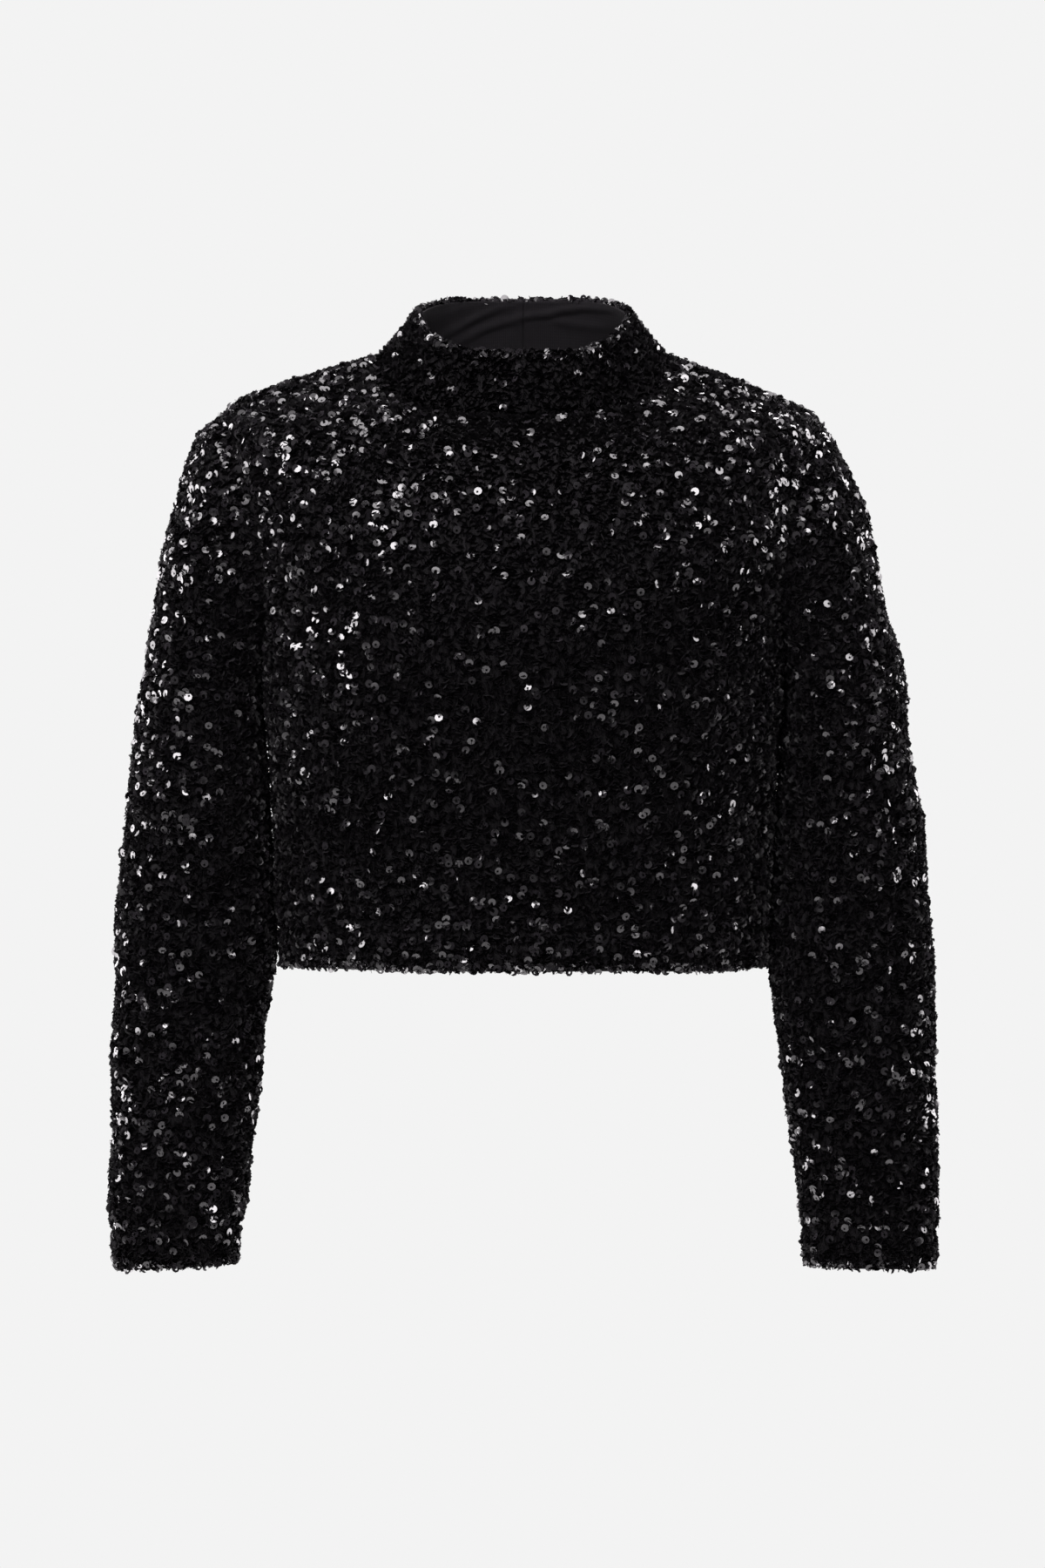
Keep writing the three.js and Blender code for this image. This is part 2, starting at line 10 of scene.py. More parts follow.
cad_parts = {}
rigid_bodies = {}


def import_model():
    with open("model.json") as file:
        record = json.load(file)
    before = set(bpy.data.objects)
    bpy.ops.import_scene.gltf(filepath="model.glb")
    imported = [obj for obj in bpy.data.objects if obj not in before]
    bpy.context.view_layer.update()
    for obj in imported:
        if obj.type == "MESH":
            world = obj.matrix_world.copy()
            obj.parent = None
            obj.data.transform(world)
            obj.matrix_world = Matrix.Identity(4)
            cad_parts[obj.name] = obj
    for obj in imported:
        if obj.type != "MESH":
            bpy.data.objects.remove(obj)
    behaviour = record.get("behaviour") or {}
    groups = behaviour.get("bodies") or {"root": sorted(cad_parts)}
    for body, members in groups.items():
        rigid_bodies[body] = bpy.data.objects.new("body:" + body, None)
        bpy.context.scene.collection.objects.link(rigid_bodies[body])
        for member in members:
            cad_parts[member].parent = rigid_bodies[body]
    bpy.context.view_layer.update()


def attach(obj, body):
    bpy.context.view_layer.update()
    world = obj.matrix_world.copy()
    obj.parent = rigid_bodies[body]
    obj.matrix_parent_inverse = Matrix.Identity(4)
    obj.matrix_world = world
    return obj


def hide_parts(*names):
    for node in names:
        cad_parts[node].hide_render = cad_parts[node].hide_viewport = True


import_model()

rng = np.random.default_rng(20)
MM = 0.001
PI = math.pi

# ---- Driving sizes, mm ------------------------------------------------------------------
SEAM_GAP = 0.4  # between two pieces sewn to each other
UNDERARM_CLEARANCE = 2.5  # between a hanging sleeve and the side of the body
LEFT_SHOULDER_DROP = 7.5
GROUND = 1.5  # the knit ground lies this far under the outline that the sequins reach
CLOTH = 1.2  # thickness of the knit ground
ALLOWANCE = 1.2  # the turned-up layer inside the hem and the cuffs
COLLAR_GROUND = 1.2
COLLAR_CLOTH = 1.0
FACING_INSET = 3.0  # outside of the jersey facing under the collar's outline
FACING_CLOTH = 0.9
DISC = 2.75  # radius of a sequin
SINK = 0.0  # moves the whole pile of sequins in

# ---- The form: the same rows as the solids have -------------------------------------------
# halfWidth, sideZ, frontDepth, frontZ, backDepth, backZ, boxy, scoop
BODY = np.array([
    (164, -414, 106, -415.5, 98, -414, 2.45, 0),  # hem edge
    (165, -389, 107, -389, 99, -389, 2.45, 0),  # hem stitching
    (167, -350, 108, -350, 100, -350, 2.4, 0),  # high hip
    (169, -308, 112, -308, 101, -308, 2.4, 0),  # waist
    (172, -262, 119, -264, 104, -262, 2.4, 0),  # under bust
    (175, -218, 126, -220, 108, -216, 2.5, 0),  # underarm
    (179, -178, 126, -182, 111, -174, 2.75, 0),  # bust
    (185, -138, 120, -147, 113, -130, 2.95, 0),  # chest
    (191, -101, 111, -117, 112, -90, 3.0, 0.05),  # mid armhole
    (197, -67, 101, -92, 106, -57, 2.95, 0.15),  # upper armhole
    (199, -37.8, 91, -74, 96, -33, 2.7, 0.3),  # shoulder point
    (167, -22.3, 82, -61.5, 85, -19, 2.45, 0.55),  # outer shoulder
    (131, -11, 74.5, -53, 74, -9, 2.3, 0.8),  # inner shoulder
    (97, 0, 68, -46, 63, -2, 2.2, 1),  # collar seam
], float)
HEM_STITCHING, UNDERARM, SHOULDER_POINT, COLLAR_SEAM = 1, 5, 10, 13
ARMHOLE_WIDTH = math.radians(30.5)
ARMHOLE_FULLNESS = 2.3

# outerX, outerZ, innerX, innerZ, halfDepth, centreY, boxy, ofArmhole
SLEEVE_RIGHT = np.array([
    (199, -37.8, 176, -218, 62, 0, 2.3, 1),  # armhole
    (220, -56.5, 177.5, -225, 63, 0, 2.3, 0.75),  # cap
    (231.5, -88, 178.5, -232, 62, 0, 2.3, 0.4),  # cap turn
    (241, -126, 178.5, -241, 61, 0, 2.3, 0.12),  # upper arm 1
    (249, -170, 177.5, -253, 60, 0, 2.3, 0),  # upper arm 2
    (256, -216, 176, -272, 58, -1, 2.3, 0),  # upper arm 3
    (263.5, -266, 174, -301, 55, -2, 2.25, 0),  # upper arm 4
    (268, -318, 172, -337, 52, -4, 2.2, 0),  # above elbow
    (272, -368, 169.5, -376, 49, -6, 2.2, 0),  # elbow
    (275, -415, 169.3, -416, 46, -9, 2.2, 0),  # below elbow
    (276.5, -472, 175.5, -470, 41, -13, 2.2, 0),  # forearm 1
    (278, -531, 182, -527, 36, -17, 2.2, 0),  # forearm 2
    (278.5, -592, 189, -588, 31, -21, 2.25, 0),  # cuff stitching
    (276, -617.5, 190.7, -613, 29, -23, 2.25, 0),  # cuff edge
], float)
SLEEVE_LEFT = np.array([
    (199, -45.3, 176, -218, 62, 0, 2.3, 1),  # armhole
    (211.5, -63, 177.5, -225, 63, 0, 2.3, 0.75),  # cap
    (226, -92, 178.5, -232, 62, 0, 2.3, 0.4),  # cap turn
    (235, -127, 178.5, -241, 61, 0, 2.3, 0.12),  # upper arm 1
    (244.5, -170, 177.5, -253, 60, 0, 2.3, 0),  # upper arm 2
    (255, -216, 176, -272, 58, -1, 2.3, 0),  # upper arm 3
    (261.8, -266, 174, -301, 55, -2, 2.25, 0),  # upper arm 4
    (269, -318, 171.5, -337, 52, -4, 2.2, 0),  # above elbow
    (273.5, -368, 169, -376, 49, -6, 2.2, 0),  # elbow
    (276, -415, 166.6, -416, 46, -9, 2.2, 0),  # below elbow
    (277.5, -472, 172.8, -470, 41, -13, 2.2, 0),  # forearm 1
    (278.3, -531, 180.2, -527, 36, -17, 2.2, 0),  # forearm 2
    (278.8, -591.5, 186.6, -590, 31, -21, 2.25, 0),  # cuff stitching
    (277, -616.5, 188.7, -615, 29, -23, 2.25, 0),  # cuff edge
], float)
CUFF_STITCHING, CUFF_EDGE = 12, 13

# halfWidth, sideZ, frontDepth, frontZ, backDepth, backZ, boxy, dip
COLLAR = np.array([
    (97, 0, 68, -46, 63, -2, 2.2, 0),  # seam
    (87.5, 10, 65, -32.5, 61, 12, 2.2, 0.2),  # lower
    (79, 20, 62, -18.5, 59, 27, 2.2, 0.6),  # upper
    (72, 29.5, 59, -4, 57, 42, 2.2, 1),  # top edge
], float)
COLLAR_TOP = 3

# ---- Creases --------------------------------------------------------------------------------
# Each is a line of (x, z) points seen from the front, with its depth (- a trough, + a ridge)
# and half width. They fade out towards both ends.
FRONT_CREASES = [
    # Pulls from the armholes down towards the bust.
    ([(-172, -145), (-150, -176), (-122, -206)], -2.8, 7),
    ([(-166, -128), (-138, -158), (-108, -182)], 1.8, 8),
    ([(-168, -176), (-140, -212), (-118, -252)], -1.6, 8),
    ([(172, -142), (150, -172), (124, -200)], -2.4, 7),
    ([(164, -122), (134, -150), (100, -168)], 1.6, 8),
    ([(166, -182), (146, -214), (120, -238)], -1.8, 8),
    # Hollows beside the neck.
    ([(-98, -38), (-116, -74), (-120, -112)], -1.8, 9),
    ([(-70, -62), (-62, -96), (-66, -128)], 1.2, 9),
    ([(96, -38), (114, -70), (126, -100)], -1.6, 9),
    ([(58, -66), (66, -104), (60, -136)], 1.1, 9),
    # The shade under the bust.
    ([(-92, -236), (-36, -246), (24, -242), (88, -250)], -1.8, 15),
    # Soft upright flutes down to the hem.
    ([(-131, -300), (-139, -350), (-136, -402)], 2.0, 10),
    ([(-112, -318), (-114, -362), (-110, -400)], -1.6, 8),
    ([(-94, -262), (-92, -330), (-97, -400)], 2.3, 9),
    ([(-48, -286), (-44, -340), (-42, -404)], -1.7, 9),
    ([(-14, -300), (-10, -350), (-12, -398)], 1.3, 10),
    ([(24, -290), (28, -344), (30, -400)], 1.7, 9),
    ([(58, -318), (54, -362), (56, -402)], -1.4, 8),
    ([(94, -268), (98, -330), (101, -396)], -2.0, 9),
    ([(134, -306), (140, -352), (141, -398)], 1.8, 10),
]
BACK_CREASES = [
    ([(-170, -128), (-146, -168), (-112, -204)], -2.6, 8),
    ([(-160, -104), (-130, -140), (-96, -160)], 1.6, 9),
    ([(168, -134), (142, -166), (116, -206)], -2.3, 8),
    ([(166, -96), (128, -124), (92, -140)], 1.5, 9),
    ([(-84, -22), (-96, -60), (-92, -104)], -1.6, 10),
    ([(86, -24), (102, -58), (98, -96)], -1.5, 10),
    ([(-60, -12), (-20, -24), (24, -22), (62, -14)], -1.5, 8),
    ([(-70, -268), (-16, -282), (44, -276), (92, -288)], -1.8, 13),
    ([(-126, -286), (-132, -340), (-128, -398)], 2.0, 10),
    ([(-86, -262), (-80, -328), (-84, -402)], -2.0, 9),
    ([(-38, -298), (-34, -350), (-36, -400)], 1.7, 9),
    ([(12, -272), (8, -336), (12, -396)], -1.6, 9),
    ([(56, -292), (60, -346), (58, -404)], 1.8, 9),
    ([(96, -250), (104, -318), (108, -390)], -2.1, 9),
    ([(136, -302), (142, -350), (140, -396)], 1.6, 9),
]
# The same for the sleeves' front and back halves.
RIGHT_SLEEVE_FRONT = [
    ([(-228, -92), (-206, -122), (-188, -150)], -1.8, 8),
    ([(-244, -150), (-216, -190), (-186, -232)], -2.2, 9),
    ([(-250, -196), (-226, -236), (-196, -270)], 1.8, 9),
    ([(-262, -262), (-226, -296), (-182, -322)], -2.2, 9),
    ([(-176, -350), (-206, -376), (-248, -384)], -3.2, 8),
    ([(-182, -372), (-216, -396), (-256, -400)], 2.0, 7),
    ([(-176, -394), (-210, -420), (-252, -426)], -2.8, 8),
    ([(-182, -432), (-214, -446), (-244, -444)], -2.0, 8),
    ([(-270, -446), (-250, -478), (-226, -500)], -1.6, 9),
    ([(-188, -500), (-210, -528), (-238, -540)], -1.5, 8),
    ([(-268, -530), (-252, -556), (-230, -574)], 1.2, 8),
]
RIGHT_SLEEVE_BACK = [
    ([(-232, -98), (-210, -136), (-194, -160)], -1.8, 9),
    ([(-248, -170), (-220, -208), (-190, -236)], -2.0, 9),
    ([(-258, -240), (-228, -272), (-190, -300)], 1.8, 9),
    ([(-180, -340), (-214, -362), (-250, -360)], -2.4, 9),
    ([(-262, -384), (-226, -402), (-184, -406)], 2.2, 9),
    ([(-260, -420), (-226, -446), (-186, -462)], -1.8, 9),
    ([(-256, -520), (-228, -540), (-200, -544)], -1.4, 9),
]
LEFT_SLEEVE_FRONT = [
    ([(222, -96), (204, -124), (190, -152)], -1.8, 8),
    ([(238, -156), (214, -196), (188, -238)], -2.1, 9),
    ([(250, -206), (222, -240), (192, -262)], 1.7, 9),
    ([(256, -254), (220, -300), (180, -328)], -2.2, 9),
    ([(174, -356), (204, -382), (240, -390)], -3.0, 8),
    ([(180, -378), (212, -402), (250, -408)], 1.9, 7),
    ([(176, -398), (212, -424), (256, -434)], -2.6, 8),
    ([(182, -436), (210, -452), (240, -456)], -2.0, 8),
    ([(268, -470), (248, -500), (226, -524)], -1.7, 9),
    ([(184, -520), (208, -548), (236, -556)], -1.5, 8),
    ([(270, -548), (254, -568), (238, -578)], 1.2, 8),
]
LEFT_SLEEVE_BACK = [
    ([(226, -104), (206, -138), (192, -166)], -1.8, 9),
    ([(242, -166), (216, -210), (188, -246)], -2.1, 9),
    ([(256, -236), (226, -276), (188, -296)], 1.7, 9),
    ([(178, -336), (214, -366), (254, -372)], -2.5, 9),
    ([(260, -396), (222, -410), (182, -408)], 2.0, 9),
    ([(258, -438), (222, -462), (186, -470)], -1.8, 9),
    ([(262, -536), (232, -552), (204, -552)], -1.4, 9),
]


# ---- Reading a table between its rows -----------------------------------------------------
def row_at(table, t):
    """Every column of a table at levels t, smooth through the rows."""
    last = len(table) - 1
    u = np.clip(np.asarray(t, float), 0, last)
    i = np.minimum(np.floor(u).astype(int), last - 1)
    f = (u - i)[..., None]
    b, c = table[i], table[i + 1]
    a = np.where((i > 0)[..., None], table[np.maximum(i - 1, 0)], 2 * b - c)
    d = np.where((i + 2 <= last)[..., None], table[np.minimum(i + 2, last)], 2 * c - b)
    row = b + 0.5 * f * (c - a + f * (2 * a - 5 * b + 4 * c - d + f * (3 * (b - c) + d - a)))
    return [row[..., k] for k in range(table.shape[1])]


def rounded(angle, boxy):
    s, c = np.sin(angle), np.cos(angle)
    r = (np.abs(s) ** boxy + np.abs(c) ** boxy) ** (-1 / boxy)
    return r * s, r * c


def towards_front(angle, scoop):
    c = np.abs(np.cos(angle))
    return c * c * (1 - scoop) + (1 - (1 - c) ** 1.4) * scoop


def smoothstep(x, low, high):
    t = np.clip((x - low) / (high - low), 0, 1)
    return t * t * (3 - 2 * t)


def unit(v):
    return v / np.maximum(np.linalg.norm(v, axis=-1, keepdims=True), 1e-12)


# ---- Surfaces -------------------------------------------------------------------------------
def body_point(angle, level):
    half, side_z, fd, fz, bd, bz, boxy, scoop = row_at(BODY, level)
    s, c = rounded(angle, boxy)
    front = c >= 0
    depth = np.where(front, fd, bd)
    end_z = np.where(front, fz, bz)
    to_end = np.where(front, towards_front(angle, scoop), np.cos(angle) ** 2)
    left = np.maximum(0, np.sin(angle)) ** 2
    shoulder = np.exp(-(((np.asarray(level) - SHOULDER_POINT) / 1.9) ** 2))
    z = side_z + (end_z - side_z) * to_end - LEFT_SHOULDER_DROP * left * shoulder
    return np.stack([half * s, -depth * c, z], -1)


def armhole_angle(level):
    middle, reach = (UNDERARM + SHOULDER_POINT) / 2, (SHOULDER_POINT - UNDERARM) / 2
    off = np.abs((np.asarray(level, float) - middle) / reach)
    return ARMHOLE_WIDTH * np.sqrt(np.maximum(0, 1 - np.minimum(off, 1) ** ARMHOLE_FULLNESS))


def armhole_place(side, facing, level):
    return side * (PI / 2 - facing * armhole_angle(level))


def collar_point(angle, level):
    half, side_z, fd, fz, bd, bz, boxy, dip = row_at(COLLAR, level)
    s, c = rounded(angle, boxy)
    front = c >= 0
    as_u = np.maximum(0, 1 - np.abs(s) ** np.where(front, 4, 5)) ** 0.7
    as_arc = np.where(front, towards_front(angle, 1), np.cos(angle) ** 2)
    to_end = as_arc + (as_u - as_arc) * dip
    z = side_z + (np.where(front, fz, bz) - side_z) * to_end
    return np.stack([half * s, -np.where(front, fd, bd) * c, z], -1)


def normal_of(point, u, v, du, dv, low, high):
    """Outward normals of point(u, v) by differences, where du x dv points out."""
    u, v = np.broadcast_arrays(np.asarray(u, float), np.asarray(v, float))
    along_u = point(u + du, v) - point(u - du, v)
    along_v = point(u, np.minimum(v + dv, high)) - point(u, np.maximum(v - dv, low))
    return unit(np.cross(along_u, along_v))


def body_normal(angle, level):
    return normal_of(body_point, angle, level, math.radians(2.5), 0.12, 0, COLLAR_SEAM)


LOOP_STEPS = 240


class ArmholeLoop:
    """The armhole's edge: turn 0 the underarm, 1/4 the front, 1/2 the shoulder, 3/4 the back."""

    def __init__(self, side):
        self.side = side
        i = np.arange(LOOP_STEPS + 1)
        self.levels = (UNDERARM + SHOULDER_POINT) / 2 - (SHOULDER_POINT - UNDERARM) / 2 * np.cos(PI * i / LOOP_STEPS)
        self.points, self.along = {}, {}
        for facing in (1, -1):
            p = body_point(armhole_place(side, facing, self.levels), self.levels)
            self.points[facing] = p
            self.along[facing] = np.concatenate([[0], np.cumsum(np.linalg.norm(np.diff(p, axis=0), axis=1))])

    def _want(self, turn):
        turn = np.mod(turn, 1)
        back = turn > 0.5
        share = np.where(back, 1 - turn, turn) * 2
        return back, share

    def point(self, turn):
        back, share = self._want(turn)
        out = np.zeros(np.shape(turn) + (3,))
        for facing, pick in ((1, ~back), (-1, back)):
            along = self.along[facing]
            for k in range(3):
                value = np.interp(share * along[-1], along, self.points[facing][:, k])
                out[..., k] = np.where(pick, value, out[..., k])
        return out

    def place(self, turn):
        back, share = self._want(turn)
        level = np.where(
            back,
            np.interp(share * self.along[-1][-1], self.along[-1], self.levels),
            np.interp(share * self.along[1][-1], self.along[1], self.levels),
        )
        angle = np.where(back, armhole_place(self.side, -1, level), armhole_place(self.side, 1, level))
        return angle, level


def body_side_x(y, z):
    level = np.interp(z, BODY[: UNDERARM + 1, 1], np.arange(UNDERARM + 1))
    half, _, fd, _, bd, _, boxy, _ = row_at(BODY, level)
    share = np.minimum(1, np.abs(y) / np.where(y < 0, fd, bd))
    return half * (1 - share**boxy) ** (1 / boxy)


def sleeve_surface(table, side):
    loop = ArmholeLoop(side)
    first = table[0]
    seam_from = np.array([side * first[2], 0, first[3]])
    seam_to = np.array([side * first[0], 0, first[1]])
    seam_middle, seam_half = (seam_from + seam_to) / 2, (seam_to - seam_from) / 2

    def surface(turn, level):
        turn, level = np.broadcast_arrays(np.asarray(turn, float), np.asarray(level, float))
        ox, oz, ix, iz, depth, centre, boxy, of_armhole = row_at(table, level)
        inner = np.stack([side * ix, centre, iz], -1)
        outer = np.stack([side * ox, centre, oz], -1)
        middle, half = (inner + outer) / 2, (outer - inner) / 2
        s, c = rounded(turn * 2 * PI, boxy)
        own = middle - half * c[..., None]
        own[..., 1] -= depth * s
        at = loop.point(turn)
        off = at - seam_middle
        off[..., 1] = 0
        along = (off @ seam_half) / (seam_half @ seam_half)
        out = off - along[..., None] * seam_half
        carried = middle + half * along[..., None] + out * of_armhole[..., None]
        carried[..., 1] = centre + at[..., 1] * depth / first[4]
        share = np.clip(of_armhole, 0, 1)[..., None]
        point = own + (carried - own) * share
        # It hangs next to the body's side, not in it.
        under = BODY[UNDERARM, 1] - point[..., 2]
        gap = SEAM_GAP + (UNDERARM_CLEARANCE - SEAM_GAP) * smoothstep(under, 0, 14)
        least = body_side_x(point[..., 1], point[..., 2]) + gap
        held = (under >= 0) & (point[..., 2] >= BODY[0, 1] - 6) & (side * point[..., 0] < least)
        point[..., 0] = np.where(held, side * least, point[..., 0])
        return point

    return surface, loop


# ---- Soft unevenness ------------------------------------------------------------------------
class Waves:
    """A smooth uneven value over space, about 1 in size, with waves of about that length."""

    def __init__(self, length, count=18):
        k = unit(rng.normal(size=(count, 3))) * (2 * PI / (length * rng.uniform(0.7, 1.5, (count, 1))))
        self.k, self.phase, self.count = k, rng.uniform(0, 2 * PI, count), count

    def __call__(self, p):
        out = np.zeros(p.shape[:-1])
        for k, phase in zip(self.k, self.phase):
            out += np.cos(p @ k + phase)
        return out * math.sqrt(2 / self.count)


UNEVEN = Waves(78)
RIPPLE = Waves(34)


def crease_height(p, creases):
    """How far the cloth stands out (+) or in (-) at points p, seen from the front."""
    x, z = p[..., 0], p[..., 2]
    total = np.zeros(x.shape)
    for line, depth, width in creases:
        line = np.array(line, float)
        steps = np.linalg.norm(np.diff(line, axis=0), axis=1)
        starts = np.concatenate([[0], np.cumsum(steps)])
        best = np.full(x.shape, 1e9)
        share = np.zeros(x.shape)
        for a, b, at, step in zip(line[:-1], line[1:], starts, steps):
            d = (b - a) / step
            t = np.clip((x - a[0]) * d[0] + (z - a[1]) * d[1], 0, step)
            away = np.hypot(x - a[0] - d[0] * t, z - a[1] - d[1] * t)
            nearer = away < best
            best = np.where(nearer, away, best)
            share = np.where(nearer, (at + t) / starts[-1], share)
        fade = np.sin(PI * np.clip(0.12 + 0.76 * share, 0, 1)) ** 0.8
        total += depth * np.exp(-((best / width) ** 2)) * fade
    return total


# ---- A grid of cloth ---------------------------------------------------------------------------
class Cloth:
    """The outline surface of a piece as a grid: rows along v, columns along u."""

    def __init__(self, points, closed, normals=None):
        self.p = points
        self.closed = closed
        self.n = self._normals() if normals is None else normals

    def _normals(self):
        p = self.p
        if self.closed:
            du = np.roll(p, -1, axis=1) - np.roll(p, 1, axis=1)
        else:
            du = np.gradient(p, axis=1)
        dv = np.gradient(p, axis=0)
        return unit(np.cross(du, dv))

    def moved(self, height):
        """The same cloth with its points moved out by height."""
        made = Cloth(self.p + self.n * height[..., None], self.closed)
        return made

    def corners(self):
        """The grid's squares as four corner indices each."""
        rows, cols = self.p.shape[:2]
        spans = cols if self.closed else cols - 1
        r, c = np.meshgrid(np.arange(rows - 1), np.arange(spans), indexing="ij")
        r, c = r.ravel(), c.ravel()
        d = (c + 1) % cols
        return np.stack([r * cols + c, r * cols + d, (r + 1) * cols + d, (r + 1) * cols + c], -1)


def across(p, closed=False):
    """Distance from each grid point to the nearer of its row's two ends."""
    step = np.linalg.norm(np.diff(p, axis=1), axis=2)
    along = np.concatenate([np.zeros((len(p), 1)), np.cumsum(step, axis=1)], axis=1)
    return np.minimum(along, along[:, -1:] - along)


def down(p):
    """Distance from each grid point to its column's first and last row."""
    step = np.linalg.norm(np.diff(p, axis=0), axis=2)
    along = np.concatenate([np.zeros((1, p.shape[1])), np.cumsum(step, axis=0)], axis=0)
    return along, along[-1:] - along


def groove(distance, depth, width):
    return -depth * np.exp(-((distance / width) ** 2))


def spread(*parts):
    """Rows from a list of (from, to, steps)."""
    rows = [np.linspace(a, b, n, endpoint=False) for a, b, n in parts]
    return np.concatenate(rows + [[parts[-1][1]]])


def body_panel(facing, creases):
    half_loop = ArmholeLoop(-1)
    along = half_loop.along[facing]
    at_centre = spread((0, 1, 5), (1, 5, 28), (5, 10, 38), (10, 12, 10), (12, 12.985, 6))
    at_edge = np.where(
        (at_centre > UNDERARM) & (at_centre < SHOULDER_POINT),
        np.interp((at_centre - UNDERARM) / (SHOULDER_POINT - UNDERARM) * along[-1], along, half_loop.levels),
        at_centre,
    )
    u = np.linspace(0, 1, 91)
    w = 2 * u - 1
    level = at_centre[:, None] + (at_edge - at_centre)[:, None] * np.abs(w)[None] ** 3
    depth = row_at(BODY, at_edge)[2 if facing > 0 else 4]
    edge = PI / 2 - armhole_angle(at_edge) - SEAM_GAP / 2 / depth
    angle = (0 if facing > 0 else PI) + PI / 2 * w[None] - (PI / 2 - edge)[:, None] * (np.sign(w) * np.abs(w) ** 2.2)[None]
    cloth = Cloth(body_point(angle, level), False, body_normal(angle, level))
    p = cloth.p
    from_side = across(p)
    _, to_top = down(p)
    hem = np.abs(level - HEM_STITCHING) * 25
    # Creases fade out at the seams, and where a sleeve hangs next to the side.
    inside = smoothstep(from_side, 2, 16) * smoothstep(to_top, 2, 14)
    height = (crease_height(p, creases) + 0.8 * UNEVEN(p) + 0.35 * RIPPLE(p)) * inside
    height = np.where(level < 1, height * (0.55 + 0.45 * level), height)
    height += groove(hem, 1.3, 2.0) + 0.5 * np.exp(-(((level - 0.5) / 0.32) ** 2))
    height += groove(from_side, 0.7, 2.2) + groove(to_top, 1.2, 3.0)
    # The side leans on the sleeve that hangs next to it.
    beside = smoothstep(np.abs(p[..., 0]), 150, 168) * smoothstep(level, 0.3, 1.2) * smoothstep(-level, -UNDERARM, -4.3)
    height += 0.9 * beside
    # The hem dips a little on the wearer's left.
    dip = 1.6 * np.exp(-(((p[..., 0] - 120) / 30) ** 2)) * (facing > 0) * smoothstep(-level, -1.6, 0)
    made = cloth.moved(height)
    made.p[..., 2] -= dip
    made.level, made.seam, made.angle = level, np.minimum(from_side, to_top), angle
    made.turned = smoothstep(-level, -1.03, -0.97)
    return made


def sleeve_panel(table, side, front_creases, back_creases):
    surface, loop = sleeve_surface(table, side)
    turning = lambda u, v: surface(np.mod(u if side < 0 else -u, 1), v)
    u = np.arange(64) / 64
    rows = spread((0, 0.3, 3), (0.3, 5, 38), (5, 12, 56), (12, 13, 6))
    uu, vv = np.meshgrid(u, rows)
    p = turning(uu, vv)
    n = normal_of(turning, uu, vv, 0.012, 0.1, 0, CUFF_EDGE)
    # The first ring lies a seam's gap in from the body's edge and as much out from it.
    turn = np.mod(u if side < 0 else -u, 1)
    edge = loop.point(turn)
    angle, level = loop.place(turn)
    from_body = body_normal(angle, np.clip(level, UNDERARM, SHOULDER_POINT))
    from_sleeve = normal_of(turning, u, np.full_like(u, 0.5), 0.012, 0.1, 0, CUFF_EDGE)
    along = unit(loop.point(turn + 0.01) - loop.point(turn - 0.01))
    into = unit(np.cross(along, from_body))
    middle = np.stack([edge[:, 0], 0 * turn, 0 * turn + (BODY[UNDERARM, 1] + BODY[SHOULDER_POINT, 1]) / 2], -1)
    into *= np.where(((middle - edge) * into).sum(-1) < 0, -1, 1)[:, None]
    wall = from_body + from_sleeve
    wall = unit(wall - (wall * along).sum(-1, keepdims=True) * along)
    turned_back = (from_body * from_sleeve).sum(-1) < -0.2
    wall = np.where(turned_back[:, None], unit(wall * 0.5 - into * 0.5), wall)
    p[0] = edge + into * SEAM_GAP * 0.9 + from_body * SEAM_GAP
    n[0] = wall
    first = (p[0].copy(), wall)
    cloth = Cloth(p, True, n)
    from_seam, _ = down(p)
    is_front = smoothstep(-n[..., 1], -0.25, 0.25)
    folds = crease_height(p, front_creases) * is_front + crease_height(p, back_creases) * (1 - is_front)
    # The underarm line hangs next to the body.
    c = np.cos(2 * PI * uu)
    free = 1 - smoothstep(c, 0.72, 0.97) * (p[..., 2] > -430)
    inside = smoothstep(from_seam, 2, 16) * free
    height = (folds + 0.7 * UNEVEN(p + 31) + 0.35 * RIPPLE(p + 31)) * inside
    cuff = np.abs(vv - CUFF_STITCHING) * 25.5
    height = np.where(vv > 12, height * (0.5 + 0.5 * (13 - vv)), height)
    height += groove(cuff, 1.5, 2.2) - 1.1 * smoothstep(vv, 12.0, 12.15) + 0.3 * np.exp(-(((vv - 12.55) / 0.3) ** 2))
    height += groove(from_seam, 0.7, 2.5)
    # It leans on the body's side.
    beside = smoothstep(c, 0.45, 0.85) * smoothstep(-p[..., 2], 222, 236) * smoothstep(p[..., 2], -424, -408)
    height += 1.5 * beside
    height[0] = 0
    made = cloth.moved(height)
    made.p[0], made.n[0] = first
    made.level, made.seam = vv, from_seam
    made.turned = smoothstep(vv, 11.97, 12.03)
    return made


def collar_panel(centre, half_angle, low, high, inset, columns, rows):
    angle = centre + np.linspace(-1, 1, columns)[None] * half_angle
    level = np.linspace(low, high, rows)[:, None]
    angle, level = np.broadcast_arrays(angle, level)
    n = normal_of(collar_point, angle, level, math.radians(3), 0.2, 0, COLLAR_TOP)
    cloth = Cloth(collar_point(angle, level) - n * inset, False, n)
    cloth.level, cloth.angle = level, angle
    return cloth


